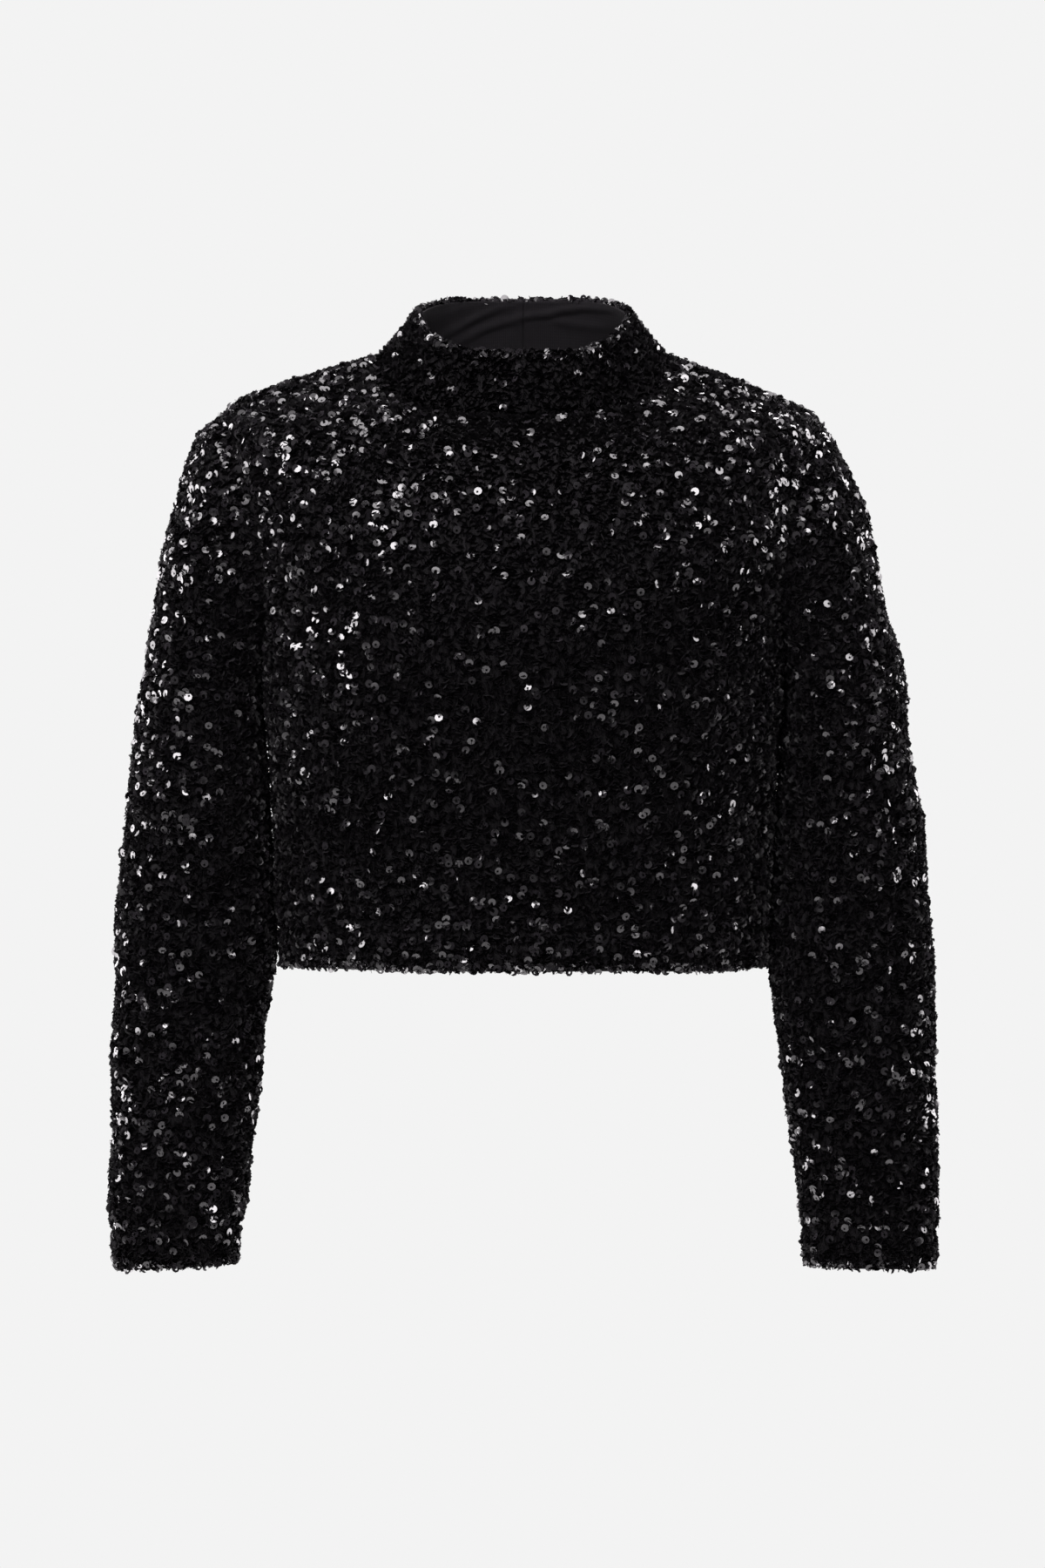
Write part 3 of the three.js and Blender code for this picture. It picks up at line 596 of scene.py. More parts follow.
def collar_outside(centre):
    cloth = collar_panel(centre, PI / 2 - SEAM_GAP / 2 / 55, 0.03, COLLAR_TOP, 0, 73, 15)
    from_side, (from_seam, to_top) = across(cloth.p), down(cloth.p)
    height = 0.5 * UNEVEN(cloth.p + 57) + 0.35 * RIPPLE(cloth.p + 57)
    height *= smoothstep(from_side, 1, 12) * smoothstep(from_seam, 1, 12)
    height += groove(from_seam, 1.0, 3.0) + groove(from_side, 0.6, 2.0)
    made = cloth.moved(height)
    made.level, made.seam, made.angle = cloth.level, np.minimum(from_side, from_seam), cloth.angle
    made.turned = np.zeros(cloth.level.shape)
    return made


def sew_on(collar, panel):
    """Brings the collar's lower edge down onto the body's top edge."""
    top = panel.p[-1] - panel.n[-1] * (GROUND + 0.3)
    meets = np.stack([np.interp(collar.angle[0], panel.angle[-1], top[:, k]) for k in range(3)], -1)
    collar.p[0] = meets + collar.n[0] * COLLAR_GROUND


# Soft diagonal wrinkles of the jersey inside the collar, as x, z points seen from the front,
# depth and half width. On the wearer's right they rise towards the centre back, and on the
# left they fan out from it.
FACING_WRINKLES = [
    ([(-58, 14), (-51, 18.5), (-34, 27.5), (-18, 35), (-8, 38)], 0.85, 2.7),
    ([(-48, 10), (-41, 14), (-27, 20.7), (-12, 26), (3, 28.5)], 1.0, 2.9),
    ([(-64, 25), (-48, 33), (-32, 39)], 0.35, 3.2),
    ([(-4, 29.5), (8, 30.5), (17, 31.5), (27, 33.5), (42, 35), (62, 32.5)], 0.95, 2.5),
    ([(12, 30), (20, 28), (30, 25), (43, 23), (60, 21)], 0.7, 3.0),
    ([(-2, 26.3), (8, 26.8), (17, 27.4), (27, 29.6), (42, 31), (60, 29)], -0.8, 1.7),
    ([(-30, 16), (-20, 19), (-8, 22)], -0.6, 3.0),
    ([(-40, 21), (-28, 27), (-18, 31)], -0.5, 2.0),
]


def facing_panel(centre):
    cloth = collar_panel(centre, PI / 4 - 0.08 / 55, 0.08, 2.9, FACING_INSET, 81, 33)
    height = crease_height(cloth.p, FACING_WRINKLES)
    from_side, (from_seam, to_top) = across(cloth.p), down(cloth.p)
    height *= smoothstep(from_seam, 0.5, 6) * smoothstep(to_top, 0.3, 4)
    # Ridges stand in towards the neck, away from the collar that the facing lines.
    height = -1.7 * np.maximum(height, 0) + 0.6 * np.minimum(1.0, np.maximum(-height, 0)) - 0.5
    height += 0.1 * np.exp(-((from_side / 0.8) ** 2)) - 0.16 * np.exp(-(((from_side - 2.0) / 1.0) ** 2))
    return cloth.moved(height)


# ---- Meshes -------------------------------------------------------------------------------------
def new_mesh(name, vertices, faces, materials, which=None, smooth=False):
    """faces is a list of (count, corners) index arrays; which gives a material for each face."""
    mesh = bpy.data.meshes.new(name)
    mesh.vertices.add(len(vertices))
    mesh.vertices.foreach_set("co", np.ascontiguousarray(vertices * MM, dtype=np.float32).ravel())
    loops = np.concatenate([f.ravel() for f in faces])
    sizes = np.concatenate([np.full(len(f), f.shape[1]) for f in faces])
    starts = np.concatenate([[0], np.cumsum(sizes)[:-1]])
    mesh.loops.add(len(loops))
    mesh.loops.foreach_set("vertex_index", loops.astype(np.int32))
    mesh.polygons.add(len(sizes))
    mesh.polygons.foreach_set("loop_start", starts.astype(np.int32))
    for m in materials:
        mesh.materials.append(m)
    if which is not None:
        mesh.polygons.foreach_set("material_index", which.astype(np.int32))
    mesh.update(calc_edges=True)
    mesh.validate()
    mesh.polygons.foreach_set("use_smooth", np.full(len(mesh.polygons), smooth))
    made = bpy.data.objects.new(name, mesh)
    bpy.context.scene.collection.objects.link(made)
    return made


def shell(name, cloth, outer, thickness, materials):
    """A thin closed shell: the cloth's face, its back and a rim."""
    rows, cols = cloth.p.shape[:2]
    outside = (cloth.p - cloth.n * outer).reshape(-1, 3)
    deep = outer + thickness + ALLOWANCE * getattr(cloth, "turned", np.zeros((rows, cols)))
    inside = (cloth.p - cloth.n * deep[..., None]).reshape(-1, 3)
    k = rows * cols
    face = cloth.corners()
    back = face[:, ::-1] + k
    spans = cols if cloth.closed else cols - 1
    i = np.arange(spans)
    j = (i + 1) % cols
    top = (rows - 1) * cols
    rims = [np.stack([k + i, k + j, j, i], -1), np.stack([top + i, top + j, k + top + j, k + top + i], -1)]
    if not cloth.closed:
        a = np.arange(rows - 1) * cols
        b = a + cols
        c, d = a + cols - 1, b + cols - 1
        rims += [np.stack([k + a, a, b, k + b], -1), np.stack([c, k + c, k + d, d], -1)]
    rim = np.concatenate(rims)
    which = np.concatenate([np.zeros(len(face)), np.ones(len(back)), np.zeros(len(rim))])
    made = new_mesh(name, np.concatenate([outside, inside]), [face, back, rim], materials, which, smooth=True)
    return made


# ---- Sequins --------------------------------------------------------------------------------------
class Sampler:
    """Even but unregimented places over a cloth's squares."""

    def __init__(self, cloth, keep=None):
        self.corners = cloth.corners()
        p = cloth.p.reshape(-1, 3)
        self.p, self.n = p[self.corners], cloth.n.reshape(-1, 3)[self.corners]
        self.seam = cloth.seam.reshape(-1)[self.corners]
        self.level = cloth.level.reshape(-1)[self.corners]
        a, b, c, d = (self.p[:, k] for k in range(4))
        self.area = np.linalg.norm(np.cross(c - a, d - b), axis=1) / 2
        if keep is not None:
            self.area = self.area * keep(self.p.mean(1), self.level.mean(1))
        self.total = np.cumsum(self.area)

    def take(self, count):
        at = (np.arange(count) + rng.uniform(0, 1, count)) / count * self.total[-1]
        q = np.minimum(np.searchsorted(self.total, at), len(self.area) - 1)
        s, t = rng.uniform(0, 1, (2, count))
        w = np.stack([(1 - s) * (1 - t), s * (1 - t), s * t, (1 - s) * t], -1)
        mix = lambda v: (v[q] * w[..., None]).sum(1)
        seam = (self.seam[q] * w).sum(1)
        level = (self.level[q] * w).sum(1)
        return mix(self.p), unit(mix(self.n)), seam, level


def frames(n, spin):
    """Two directions across each normal, turned by spin."""
    up = np.where(np.abs(n[:, 2:3]) < 0.9, np.array([[0, 0, 1.0]]), np.array([[1.0, 0, 0]]))
    a = unit(np.cross(up, n))
    b = np.cross(n, a)
    c, s = np.cos(spin)[:, None], np.sin(spin)[:, None]
    return a * c + b * s, b * c - a * s


LEAN_A, LEAN_B, CLUSTER = Waves(15, 26), Waves(15, 26), Waves(13, 30)


# Flanks of soft folds whose sequins are turned up to the light: x, z of the middle, half width,
# half height, share of the turn.
FLANKS = [(-128, -208, 40, 42, 0.78), (-158, -168, 20, 24, 0.4), (-238, -262, 20, 60, 0.35), (-120, -398, 46, 14, 0.3)]
UP_TO_LIGHT = unit(np.array([0.0, -0.94, 0.35]))


def facing_discs(p, n, height, lean):
    """Sequins that lie with their faces out: a disc with an off-centre hole, or one whose hole
    opens to its edge where the thread holds it down. Returns vertices and triangles."""
    count = len(p)
    turn_up = np.zeros(count)
    for at_x, at_z, wide, high, share in FLANKS:
        turn_up += share * np.exp(-(((p[:, 0] - at_x) / wide) ** 2) - (((p[:, 2] - at_z) / high) ** 2)) * (p[:, 1] < 0)
    base_n = unit(n * (1 - turn_up)[:, None] + UP_TO_LIGHT * turn_up[:, None])
    a, b = frames(base_n, np.zeros(count))
    # They lie evener there than elsewhere.
    even = 1 - 0.68 * turn_up
    tilt_a = even * (12 * LEAN_A(p) + rng.normal(0, lean, count))
    tilt_b = even * (12 * LEAN_B(p) + rng.normal(0, lean, count))
    axis = unit(base_n + a * np.tan(np.radians(np.clip(tilt_a, -60, 60)))[:, None] + b * np.tan(np.radians(np.clip(tilt_b, -60, 60)))[:, None])
    # Most hang from their holes, so that the bite is at the bottom.
    hangs = rng.uniform(size=count) < 0.66
    e, f = frames(axis, np.where(hangs, rng.normal(-PI / 2, 0.7, count), rng.uniform(0, 2 * PI, count)))
    centre = p + n * height[:, None]
    radius = DISC * rng.uniform(0.93, 1.05, count)
    cup = rng.uniform(0.02, 0.26, count) * np.where(rng.uniform(size=count) < 0.3, -1, 1)
    crowded = smoothstep(p[:, 2], -170, -60)
    open_ones = rng.uniform(size=count) < 0.6 + 0.2 * crowded
    verts, faces, start = [], [], 0
    # With an open hole: nine points round the edge and four round the bite that the hole makes.
    pick = np.nonzero(open_ones)[0]
    if len(pick):
        m = len(pick)
        moon = rng.uniform(size=m) < 0.38 + 0.3 * crowded[pick]
        gap = np.radians(np.where(moon, rng.uniform(95, 150, m), rng.uniform(36, 70, m)))
        turn = gap[:, None] / 2 + (2 * PI - gap)[:, None] * np.linspace(0, 1, 9)[None]
        ring = centre[pick, None] + radius[pick, None, None] * (e[pick, None] * np.cos(turn)[..., None] + f[pick, None] * np.sin(turn)[..., None])
        bite = radius[pick] * np.where(moon, rng.uniform(0.5, 0.66, m), rng.uniform(0.34, 0.42, m))
        off = radius[pick] * np.where(moon, rng.uniform(0.42, 0.6, m), rng.uniform(0.12, 0.3, m))
        bite_at = centre[pick] + e[pick] * off[:, None] + axis[pick] * cup[pick, None]
        far = np.radians(np.array([62, 132, 228, 298]))[None] * np.ones((m, 1))
        inner = bite_at[:, None] + bite[:, None, None] * (e[pick, None] * np.cos(far)[..., None] + f[pick, None] * np.sin(far)[..., None])
        verts.append(np.concatenate([ring, inner], axis=1).reshape(-1, 3))
        base = start + np.arange(m)[:, None] * 13
        band = np.array([
            (0, 1, 9), (1, 10, 9), (1, 2, 10), (2, 3, 10), (3, 4, 10), (4, 11, 10),
            (4, 5, 11), (5, 6, 11), (6, 7, 11), (7, 12, 11), (7, 8, 12),
        ])
        faces.append((base[:, :, None] + band[None]).reshape(-1, 3))
        start += m * 13
    # With a closed hole: eight edge points round four hole points.
    pick = np.nonzero(~open_ones)[0]
    if len(pick):
        m = len(pick)
        turn = 2 * PI * np.arange(8) / 8
        ring = centre[pick, None] + radius[pick, None, None] * (e[pick, None] * np.cos(turn)[None, :, None] + f[pick, None] * np.sin(turn)[None, :, None])
        hole_at = centre[pick] + e[pick] * (radius[pick] * rng.uniform(0.1, 0.36, m))[:, None] + axis[pick] * cup[pick, None]
        hole = hole_at[:, None] + 1.0 * (e[pick, None] * np.cos(turn[::2])[None, :, None] + f[pick, None] * np.sin(turn[::2])[None, :, None])
        verts.append(np.concatenate([ring, hole], axis=1).reshape(-1, 3))
        base = start + np.arange(m)[:, None] * 12
        band = np.array([
            (0, 1, 8), (1, 9, 8), (1, 2, 9), (2, 3, 9), (3, 10, 9), (3, 4, 10),
            (4, 5, 10), (5, 11, 10), (5, 6, 11), (6, 7, 11), (7, 8, 11), (7, 0, 8),
        ])
        faces.append((base[:, :, None] + band[None]).reshape(-1, 3))
    return np.concatenate(verts), np.concatenate(faces)


def standing_discs(p, n, base, low_tilt=62.0):
    """Sequins that stand on edge in the pile, seen as thin lines. Only the part that clears the
    knit ground is made: a disc cut off by a chord."""
    count = len(p)
    tilt = np.radians(rng.uniform(low_tilt, 90, count))
    a, b = frames(n, rng.uniform(0, 2 * PI, count))
    up = unit(n * np.sin(tilt)[:, None] + b * np.cos(tilt)[:, None])
    centre = p + n * base[:, None]
    radius = DISC * rng.uniform(0.9, 1.05, count)
    turn = np.radians(np.array([-18, 34, 90, 146, 198]))
    v = centre[:, None] + radius[:, None, None] * (a[:, None] * np.cos(turn)[None, :, None] + up[:, None] * np.sin(turn)[None, :, None])
    faces = np.arange(count * 5).reshape(count, 5)
    return v.reshape(-1, 3), faces


# ---- Materials ---------------------------------------------------------------------------------------
def material(name, base, roughness, **sockets):
    m = bpy.data.materials.new(name)
    m.use_nodes = True
    bsdf = m.node_tree.nodes["Principled BSDF"]
    bsdf.inputs["Base Color"].default_value = (*base, 1)
    bsdf.inputs["Roughness"].default_value = roughness
    for key, value in sockets.items():
        bsdf.inputs[key.replace("_", " ")].default_value = value
    return m, m.node_tree.nodes, m.node_tree.links, bsdf


def add(nodes, kind, **values):
    node = nodes.new(kind)
    for key, value in values.items():
        if hasattr(node, key):
            setattr(node, key, value)
        else:
            node.inputs[key.replace("_", " ")].default_value = value
    return node


def ramp(nodes, links, source, stops, interpolation="LINEAR"):
    node = nodes.new("ShaderNodeValToRGB")
    node.color_ramp.interpolation = interpolation
    while len(node.color_ramp.elements) < len(stops):
        node.color_ramp.elements.new(0.5)
    for element, (at, colour) in zip(node.color_ramp.elements, stops):
        element.position = at
        element.color = (*colour, 1) if len(colour) == 3 else colour
    links.new(source, node.inputs["Fac"])
    return node


def sequin_material(name, dark, light, rough_low, rough_high, gloss=0.5):
    """Glossy black film: every sequin has its own depth of black and its own polish, with fine
    rubbing over it."""
    m, nodes, links, bsdf = material(name, dark, rough_low, IOR=1.5)
    bsdf.inputs["Specular IOR Level"].default_value = gloss
    geometry = nodes.new("ShaderNodeNewGeometry")
    tone = ramp(nodes, links, geometry.outputs["Random Per Island"], [(0.0, dark), (0.7, [(d + l) / 2 for d, l in zip(dark, light)]), (1.0, light)])
    links.new(tone.outputs["Color"], bsdf.inputs["Base Color"])
    coords = nodes.new("ShaderNodeTexCoord")
    rub = add(nodes, "ShaderNodeTexNoise", Scale=900.0, Detail=2.0, Roughness=0.6)
    links.new(coords.outputs["Object"], rub.inputs["Vector"])
    spread_rough = add(nodes, "ShaderNodeMapRange")
    spread_rough.inputs["To Min"].default_value = rough_low
    spread_rough.inputs["To Max"].default_value = rough_high
    mixed = add(nodes, "ShaderNodeMath", operation="MULTIPLY_ADD")
    wrapped = add(nodes, "ShaderNodeMath", operation="FRACT")
    times = add(nodes, "ShaderNodeMath", operation="MULTIPLY")
    times.inputs[1].default_value = 37.0
    links.new(geometry.outputs["Random Per Island"], times.inputs[0])
    links.new(times.outputs[0], wrapped.inputs[0])
    links.new(rub.outputs["Fac"], mixed.inputs[0])
    mixed.inputs[1].default_value = 0.35
    links.new(wrapped.outputs[0], mixed.inputs[2])
    links.new(mixed.outputs[0], spread_rough.inputs["Value"])
    links.new(spread_rough.outputs["Result"], bsdf.inputs["Roughness"])
    return m


def knit_material(name, dark, light, scale, bump, sheen):
    """Fine jersey: wales and courses about half a millimetre apart, uneven in tone."""
    m, nodes, links, bsdf = material(name, dark, 0.92, Sheen_Weight=sheen, Sheen_Roughness=0.5)
    bsdf.inputs["Specular IOR Level"].default_value = 0.12
    coords = nodes.new("ShaderNodeTexCoord")
    blotch = add(nodes, "ShaderNodeTexNoise", Scale=46.0, Detail=5.0, Roughness=0.62)
    fibre = add(nodes, "ShaderNodeTexNoise", Scale=2300.0, Detail=2.0, Roughness=0.7)
    wales = add(nodes, "ShaderNodeTexWave", wave_type="BANDS", bands_direction="X", Scale=scale, Distortion=0.9, Detail=1.0)
    courses = add(nodes, "ShaderNodeTexWave", wave_type="BANDS", bands_direction="Z", Scale=scale * 1.25, Distortion=1.1, Detail=1.0)
    for node in (blotch, fibre, wales, courses):
        links.new(coords.outputs["Object"], node.inputs["Vector"])
    both = add(nodes, "ShaderNodeMath", operation="MULTIPLY")
    links.new(wales.outputs["Fac"], both.inputs[0])
    links.new(courses.outputs["Fac"], both.inputs[1])
    total = add(nodes, "ShaderNodeMath", operation="MULTIPLY_ADD")
    links.new(fibre.outputs["Fac"], total.inputs[0])
    total.inputs[1].default_value = 0.6
    links.new(both.outputs[0], total.inputs[2])
    grain = add(nodes, "ShaderNodeMath", operation="MULTIPLY_ADD")
    links.new(total.outputs[0], grain.inputs[0])
    grain.inputs[1].default_value = 0.35
    links.new(blotch.outputs["Fac"], grain.inputs[2])
    tone = ramp(nodes, links, grain.outputs[0], [(0.35, dark), (1.0, light)])
    links.new(tone.outputs["Color"], bsdf.inputs["Base Color"])
    bumped = add(nodes, "ShaderNodeBump", Strength=bump, Distance=0.0004)
    links.new(total.outputs[0], bumped.inputs["Height"])
    links.new(bumped.outputs["Normal"], bsdf.inputs["Normal"])
    return m


FACING_FILM = sequin_material("sequin_face", (0.0040, 0.0036, 0.0043), (0.0110, 0.0099, 0.0114), 0.05, 0.16)
# The sequins that stand on edge are the same black film as those that lie face out. This copy has a darker base colour
# and a weaker gloss: painted shade for the crowded pile around them.
SHADED_EDGE_FILM = sequin_material("sequin_edge_painted_shade", (0.0018, 0.0016, 0.0019), (0.0066, 0.0060, 0.0069), 0.20, 0.58, 0.2)
GROUND_KNIT = knit_material("ground_knit", (0.0022, 0.0020, 0.0023), (0.0056, 0.0050, 0.0058), 260.0, 0.6, 0.0)
INSIDE_KNIT = knit_material("ground_knit_back", (0.0045, 0.0040, 0.0048), (0.0095, 0.0084, 0.0100), 260.0, 0.5, 0.05)
JERSEY = knit_material("jersey_facing", (0.0024, 0.0021, 0.0026), (0.0042, 0.0036, 0.0045), 300.0, 0.35, 0.0)

# ---- The pieces ---------------------------------------------------------------------------------------
CLOTHS = {
    "front": body_panel(1, FRONT_CREASES),
    "back": body_panel(-1, BACK_CREASES),
    "sleeve_right": sleeve_panel(SLEEVE_RIGHT, -1, RIGHT_SLEEVE_FRONT, RIGHT_SLEEVE_BACK),
    "sleeve_left": sleeve_panel(SLEEVE_LEFT, 1, LEFT_SLEEVE_FRONT, LEFT_SLEEVE_BACK),
    "collar_front": collar_outside(0),
    "collar_back": collar_outside(PI),
}
sew_on(CLOTHS["collar_front"], CLOTHS["front"])
sew_on(CLOTHS["collar_back"], CLOTHS["back"])
STANDING_PER_CM2 = 22.0
FACING_PER_CM2 = 2.6


# Where more or fewer of them lie face out: x, z of the middle, half width, half height, change
# as a factor of what is there.
FRONT_SPOTS = [
    (10, -62, 105, 56, -0.86),  # under the collar
    (30, -135, 70, 45, -0.25),
    (15, -215, 75, 50, -0.42),  # under the bust
    (-130, -208, 44, 46, 1.8),  # below the right armpit
    (168, -62, 36, 38, -0.25),
    (-30, -96, 60, 40, -0.15),
    (112, -58, 60, 40, -0.42),
    (-120, -398, 70, 20, 0.45),
    (40, -402, 90, 20, -0.25),
    (140, -395, 60, 22, -0.25),
    (110, -330, 60, 60, -0.10),
]
SLEEVE_SPOTS = [
    (-232, -262, 26, 120, 1.5),
    (-226, -76, 26, 36, -0.35),
    (-266, -440, 22, 110, 0.5),
    (-190, -300, 26, 150, -0.25),
    (238, -262, 24, 110, 1.2),
    (192, -62, 34, 40, -0.5),
    (270, -440, 22, 110, 0.45),
    (190, -320, 26, 160, -0.15),
    (-232, -366, 40, 30, -0.35),
]


def past_stitching(name, level):
    """How far past the stitch line of the hem or cuff, + towards the edge."""
    if name.startswith("sleeve"):
        return (level - CUFF_STITCHING) * np.where(level > CUFF_STITCHING, 25.5, 61)
    if name.startswith("collar"):
        return np.full_like(level, -1000)
    return (HEM_STITCHING - level) * np.where(level < HEM_STITCHING, 25, 39)


def facing_density(name, p, level):
    """Where more of the sequins lie face out: the shoulders and upper chest, the hem's band."""
    x, z = p[:, 0], p[:, 2]
    rate = 0.27 + 1.2 * smoothstep(z, -190, -40)
    line = past_stitching(name, level)
    if name in ("front", "back"):
        rate += 0.42 * smoothstep(line, 2, 8)
    if name == "back":
        rate *= 0.82
    if name.startswith("sleeve"):
        out = smoothstep(np.abs(x), 205, 262)
        rate += 0.15 * out * smoothstep(z, -420, -150) + 0.2 * smoothstep(-z, 420, 500)
        rate -= 0.12 * smoothstep(line, 2, 8)
    if name.startswith("collar"):
        rate = 0.16 + 0.2 * smoothstep(level, 2.3, 3.0)
    spots = FRONT_SPOTS if name == "front" else SLEEVE_SPOTS if name.startswith("sleeve") else []
    for at_x, at_z, wide, high, change in spots:
        rate *= 1 + change * np.exp(-(((x - at_x) / wide) ** 2) - (((z - at_z) / high) ** 2))
    # The stitching pushes a row of them up beside it and holds the ones on it down.
    rate += (1.0 if name.startswith("sleeve") else 0.75) * np.exp(-(((line + 4.0) / 2.2) ** 2))
    return rate * (1 - 0.92 * np.exp(-((line / 2.0) ** 2)))


def lowest_tilt(name, p):
    """Round the front of the neck the pile stands straighter and shows little but its edges."""
    if name == "collar_front":
        return np.full(len(p), 82.0)
    if name != "front":
        return np.full(len(p), 62.0)
    return 62 + 20 * np.exp(-(((p[:, 0] - 5) / 95) ** 2) - (((p[:, 2] + 55) / 52) ** 2))


def facing_places(name, cloth, per_cm2):
    sampler = Sampler(cloth)
    most = 2.4
    p, n, seam, level = sampler.take(int(sampler.total[-1] / 100 * per_cm2 * most))
    rate = facing_density(name, p, level) * (1 + 0.75 * CLUSTER(p))
    rate *= smoothstep(seam, 0.2, 2.4)
    keep = rng.uniform(0, most, len(p)) < rate
    return p[keep], n[keep]


def rim_places(cloth, row, towards, per_mm):
    """Places along an open edge of the cloth, with the way out of the edge."""
    p, n = cloth.p[row], cloth.n[row]
    q = cloth.p[towards]
    if cloth.closed:
        p, n, q = (np.concatenate([v, v[:1]]) for v in (p, n, q))
    step = np.linalg.norm(np.diff(p, axis=0), axis=1)
    along = np.concatenate([[0], np.cumsum(step)])
    count = int(along[-1] * per_mm)
    at = (np.arange(count) + rng.uniform(0, 1, count)) / count * along[-1]
    pick = lambda v: np.stack([np.interp(at, along, v[:, k]) for k in range(3)], -1)
    out = unit(pick(p) - pick(q))
    return pick(p), unit(pick(n)), out


def rim_discs(cloth, row, towards, per_mm, short=0.0, most_turn=0.9):
    """Sequins that hang over an open edge, all of them moved back from it by short."""
    p, n, out = rim_places(cloth, row, towards, per_mm)
    count = len(p)
    where = p + out * (4.2 * rng.uniform(0, 1, count) ** 2 - 2.9 - short)[:, None] - n * rng.uniform(-0.2, 2.4, count)[:, None]
    turn = rng.uniform(-0.9, most_turn, count)[:, None]
    facing = unit(n * np.cos(turn) + out * np.sin(turn) * 0.8 + 0.35 * rng.normal(size=(count, 3)))
    return facing_discs(where, facing, np.zeros(count), 10)


def join(parts):
    verts, faces, start = [], [], 0
    for v, f in parts:
        verts.append(v)
        faces.append(f + start)
        start += len(v)
    return np.concatenate(verts), np.concatenate(faces)


def finish_piece(piece):
    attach(piece, "root")


triangles = {}
for name, cloth in CLOTHS.items():
    on_collar = name.startswith("collar")
    ground, thick = (COLLAR_GROUND, COLLAR_CLOTH) if on_collar else (GROUND, CLOTH)
    piece = shell(name + "_cloth", cloth, ground, thick, [GROUND_KNIT, INSIDE_KNIT])
    finish_piece(piece)
    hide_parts(name)
    # Sequins that lie face out.
    p, n = facing_places(name, cloth, FACING_PER_CM2)
    height = rng.uniform(-0.5, 1.3, len(p)) - SINK
    parts = [facing_discs(p, n, height, 17)]
    if name == "collar_front":
        parts.append(rim_discs(cloth, -1, -3, 0.8, 1.8, 0.2))
    elif on_collar:
        parts.append(rim_discs(cloth, -1, -3, 1.6, 0.9))
    elif name.startswith("sleeve"):
        parts.append(rim_discs(cloth, -1, -3, 0.55, 0.6))
    else:
        parts.append(rim_discs(cloth, 0, 2, 0.6, 0.6))
    v, f = join(parts)
    made = new_mesh(name + "_sequins_face", v, [f], [FACING_FILM], smooth=True)
    finish_piece(made)
    triangles[made.name] = len(f)
    # Sequins that stand on edge, and those on the turned-up allowance inside.
    sampler = Sampler(cloth)
    count = int(sampler.total[-1] / 100 * STANDING_PER_CM2)
    p, n, seam, level = sampler.take(count)
    loose = rng.uniform(0, 1.7, count) * (rng.uniform(size=count) < 0.07)
    base = rng.uniform(-2.5, -0.9, count) + loose + (0.4 if on_collar else 0.0) - SINK
    base -= 1.2 * np.exp(-((past_stitching(name, level) / 1.7) ** 2))
    parts = [standing_discs(p, n, base, lowest_tilt(name, p))]
    if not on_collar:
        body = not name.startswith("sleeve")
        band = (lambda p, level: (level > 0.02) & (level < 0.94)) if body else (lambda p, level: (level > 12.06) & (level < 12.98))
        inner = Sampler(cloth, band)
        p, n, seam, level = inner.take(int(inner.total[-1] / 100 * 12))
        parts.append(standing_discs(p - n * (ground + thick + ALLOWANCE), -n, rng.uniform(-0.6, 0.5, len(p)), 15))
    v, f = join(parts)
    made = new_mesh(name + "_sequins_edge", v, [f], [SHADED_EDGE_FILM])
    finish_piece(made)
    triangles[made.name] = len(f) * 3

for name, centre in (("collar_facing_left", math.radians(135)), ("collar_facing_right", math.radians(-135))):
    piece = shell(name + "_cloth", facing_panel(centre), 0.0, FACING_CLOTH, [JERSEY, JERSEY])
    finish_piece(piece)
    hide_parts(name)
per_piece = {}
for ob in bpy.context.scene.objects:
    if ob.type == "MESH" and "_" in ob.name:
        root = ob.name.replace("_cloth", "").replace("_sequins_face", "").replace("_sequins_edge", "")
        per_piece[root] = per_piece.get(root, 0) + sum(len(q.vertices) - 2 for q in ob.data.polygons)
print("TRIANGLES", sum(triangles.values()), max(triangles.values()), triangles)
print("PIECES", per_piece)

# ---- Camera -----------------------------------------------------------------------------------------------
camera_data = bpy.data.cameras.new("camera")
camera = bpy.data.objects.new("camera", camera_data)
bpy.context.scene.collection.objects.link(camera)
camera.location = (-0.0006, -3.0, -0.2926)
camera.rotation_euler = (PI / 2, 0, 0)
camera_data.sensor_fit = "VERTICAL"
camera_data.sensor_height = 36
camera_data.lens = 36 * 3.0 / 1.062
camera_data.clip_end = 50
bpy.context.scene.camera = camera

# ---- Floor, lights and surroundings --------------------------------------------------------------------------
floor_mesh = bpy.data.meshes.new("floor")
ring = [(3.9 * math.cos(2 * PI * k / 96), 3.9 * math.sin(2 * PI * k / 96), -1.6) for k in range(96)]
floor_mesh.from_pydata(ring, [], [tuple(range(96))])
floor = bpy.data.objects.new("floor", floor_mesh)
bpy.context.scene.collection.objects.link(floor)
floor_mat, nodes, links, bsdf = material("floor", (0.78, 0.78, 0.78), 0.85)
coords = nodes.new("ShaderNodeTexCoord")
cloudy = add(nodes, "ShaderNodeTexNoise", Scale=1.6, Detail=3.0)
links.new(coords.outputs["Object"], cloudy.inputs["Vector"])
tone = ramp(nodes, links, cloudy.outputs["Fac"], [(0.3, (0.76, 0.76, 0.76)), (0.7, (0.80, 0.80, 0.80))])
links.new(tone.outputs["Color"], bsdf.inputs["Base Color"])
floor_mesh.materials.append(floor_mat)


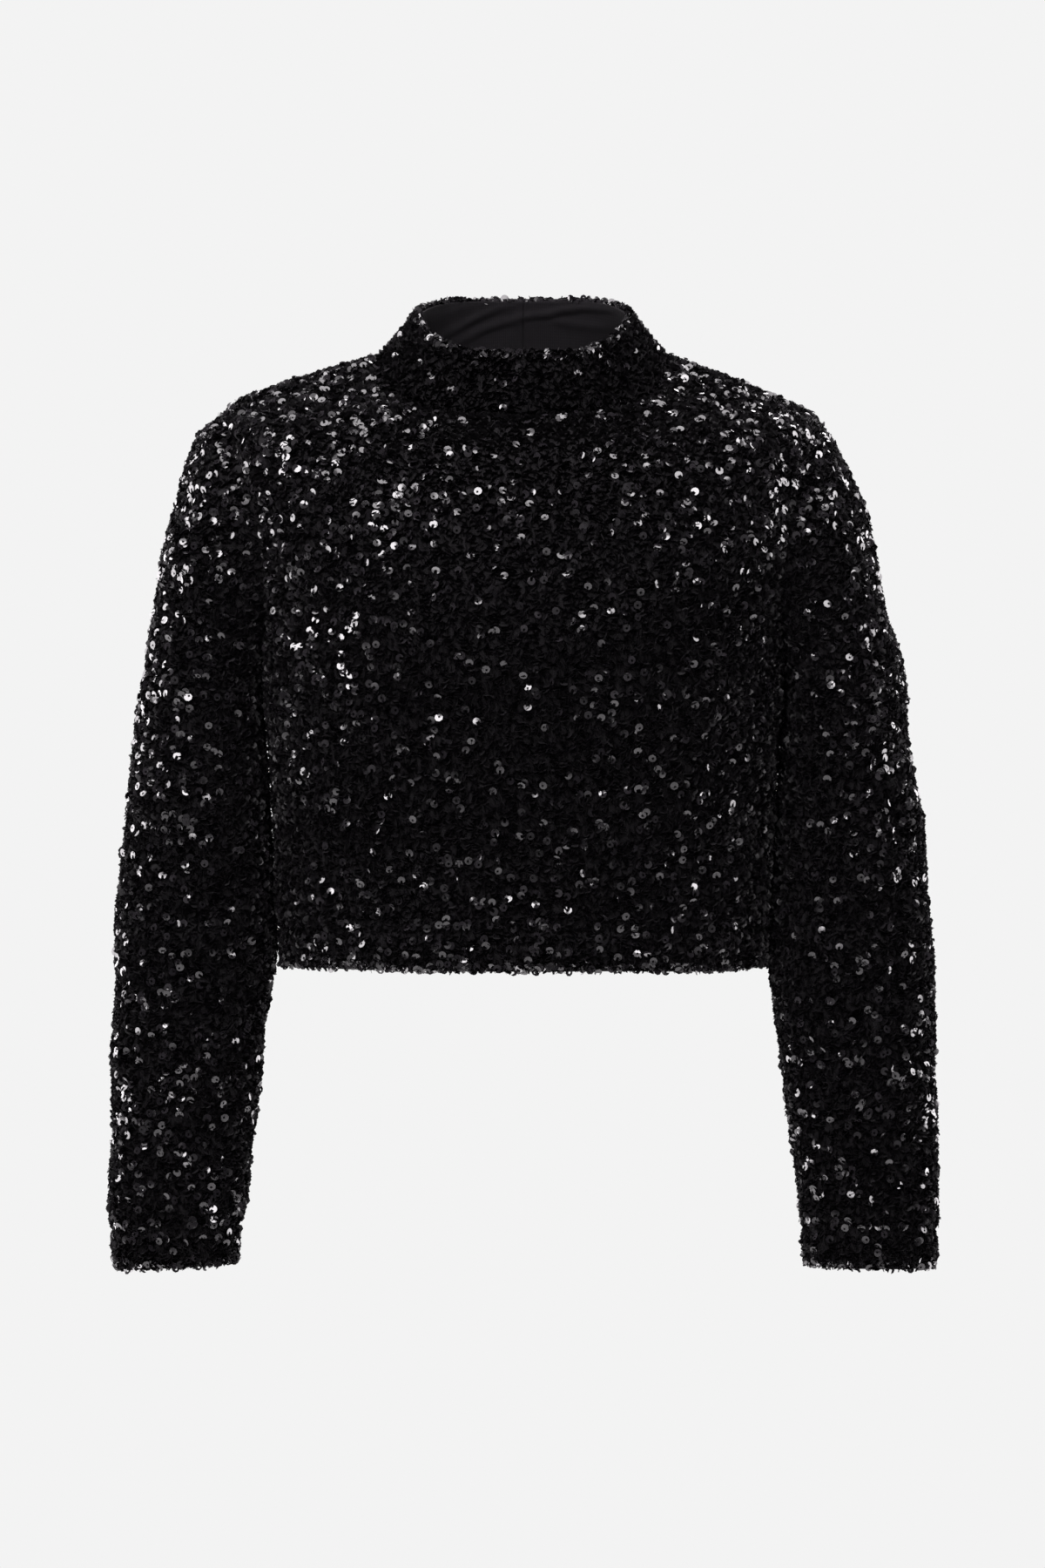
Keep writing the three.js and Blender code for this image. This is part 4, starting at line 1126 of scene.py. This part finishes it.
def softbox(name, azimuth, elevation, distance, width, height, radiance, colour=(1.0, 0.96, 0.99), target=(0, 0, -0.28)):
    """A soft light as a camera would see it: azimuth 0 is the front, + the viewer's right."""
    data = bpy.data.lights.new(name, "AREA")
    data.shape = "RECTANGLE"
    data.size, data.size_y = width, height
    data.energy = radiance * PI * width * height
    data.color = colour
    light = bpy.data.objects.new(name, data)
    a, e = math.radians(azimuth), math.radians(elevation)
    away = np.array([math.sin(a) * math.cos(e), -math.cos(a) * math.cos(e), math.sin(e)])
    light.location = np.array(target) + away * distance
    light.rotation_euler = Vector(-away).to_track_quat("-Z", "Y").to_euler()
    light.visible_camera = False
    bpy.context.scene.collection.objects.link(light)
    return light


softbox("key", -20, 38, 2.5, 1.2, 0.9, 23.0)
softbox("key_right", 24, 48, 2.5, 0.9, 0.8, 11.5)
softbox("front_top", 0, 60, 2.9, 3.0, 1.3, 2.3)
softbox("overhead", 0, 86, 2.2, 2.4, 1.3, 6.5)
softbox("camera_fill", 0, 4, 4.2, 3.4, 2.6, 0.34)
softbox("strip_left", -108, 10, 2.4, 2.0, 2.8, 10.5)
softbox("strip_right", 108, 10, 2.4, 2.0, 2.8, 9.0)
softbox("back_key", 160, 44, 2.6, 1.2, 0.9, 12.0)
softbox("back_fill", 180, 5, 3.6, 3.0, 2.4, 0.5)

world = bpy.data.worlds.new("studio")
bpy.context.scene.world = world
world.use_nodes = True
nodes, links = world.node_tree.nodes, world.node_tree.links
background = nodes["Background"]
coords = nodes.new("ShaderNodeTexCoord")
split = nodes.new("ShaderNodeSeparateXYZ")
links.new(coords.outputs["Generated"], split.inputs[0])
lift = nodes.new("ShaderNodeMapRange")
lift.inputs["From Min"].default_value = -1.0
links.new(split.outputs["Z"], lift.inputs["Value"])
around = ramp(nodes, links, lift.outputs["Result"], [(0.0, (0.10, 0.10, 0.10)), (0.5, (0.05, 0.049, 0.05)), (1.0, (0.03, 0.03, 0.03))])
path = nodes.new("ShaderNodeLightPath")
choose = nodes.new("ShaderNodeMixRGB")
choose.inputs["Color2"].default_value = (0.8963, 0.8963, 0.8963, 1)
links.new(path.outputs["Is Camera Ray"], choose.inputs["Fac"])
links.new(around.outputs["Color"], choose.inputs["Color1"])
links.new(choose.outputs["Color"], background.inputs["Color"])

view = bpy.context.scene.view_settings
view.view_transform = "Standard"
view.look = "None"
view.exposure = 0
view.gamma = 1
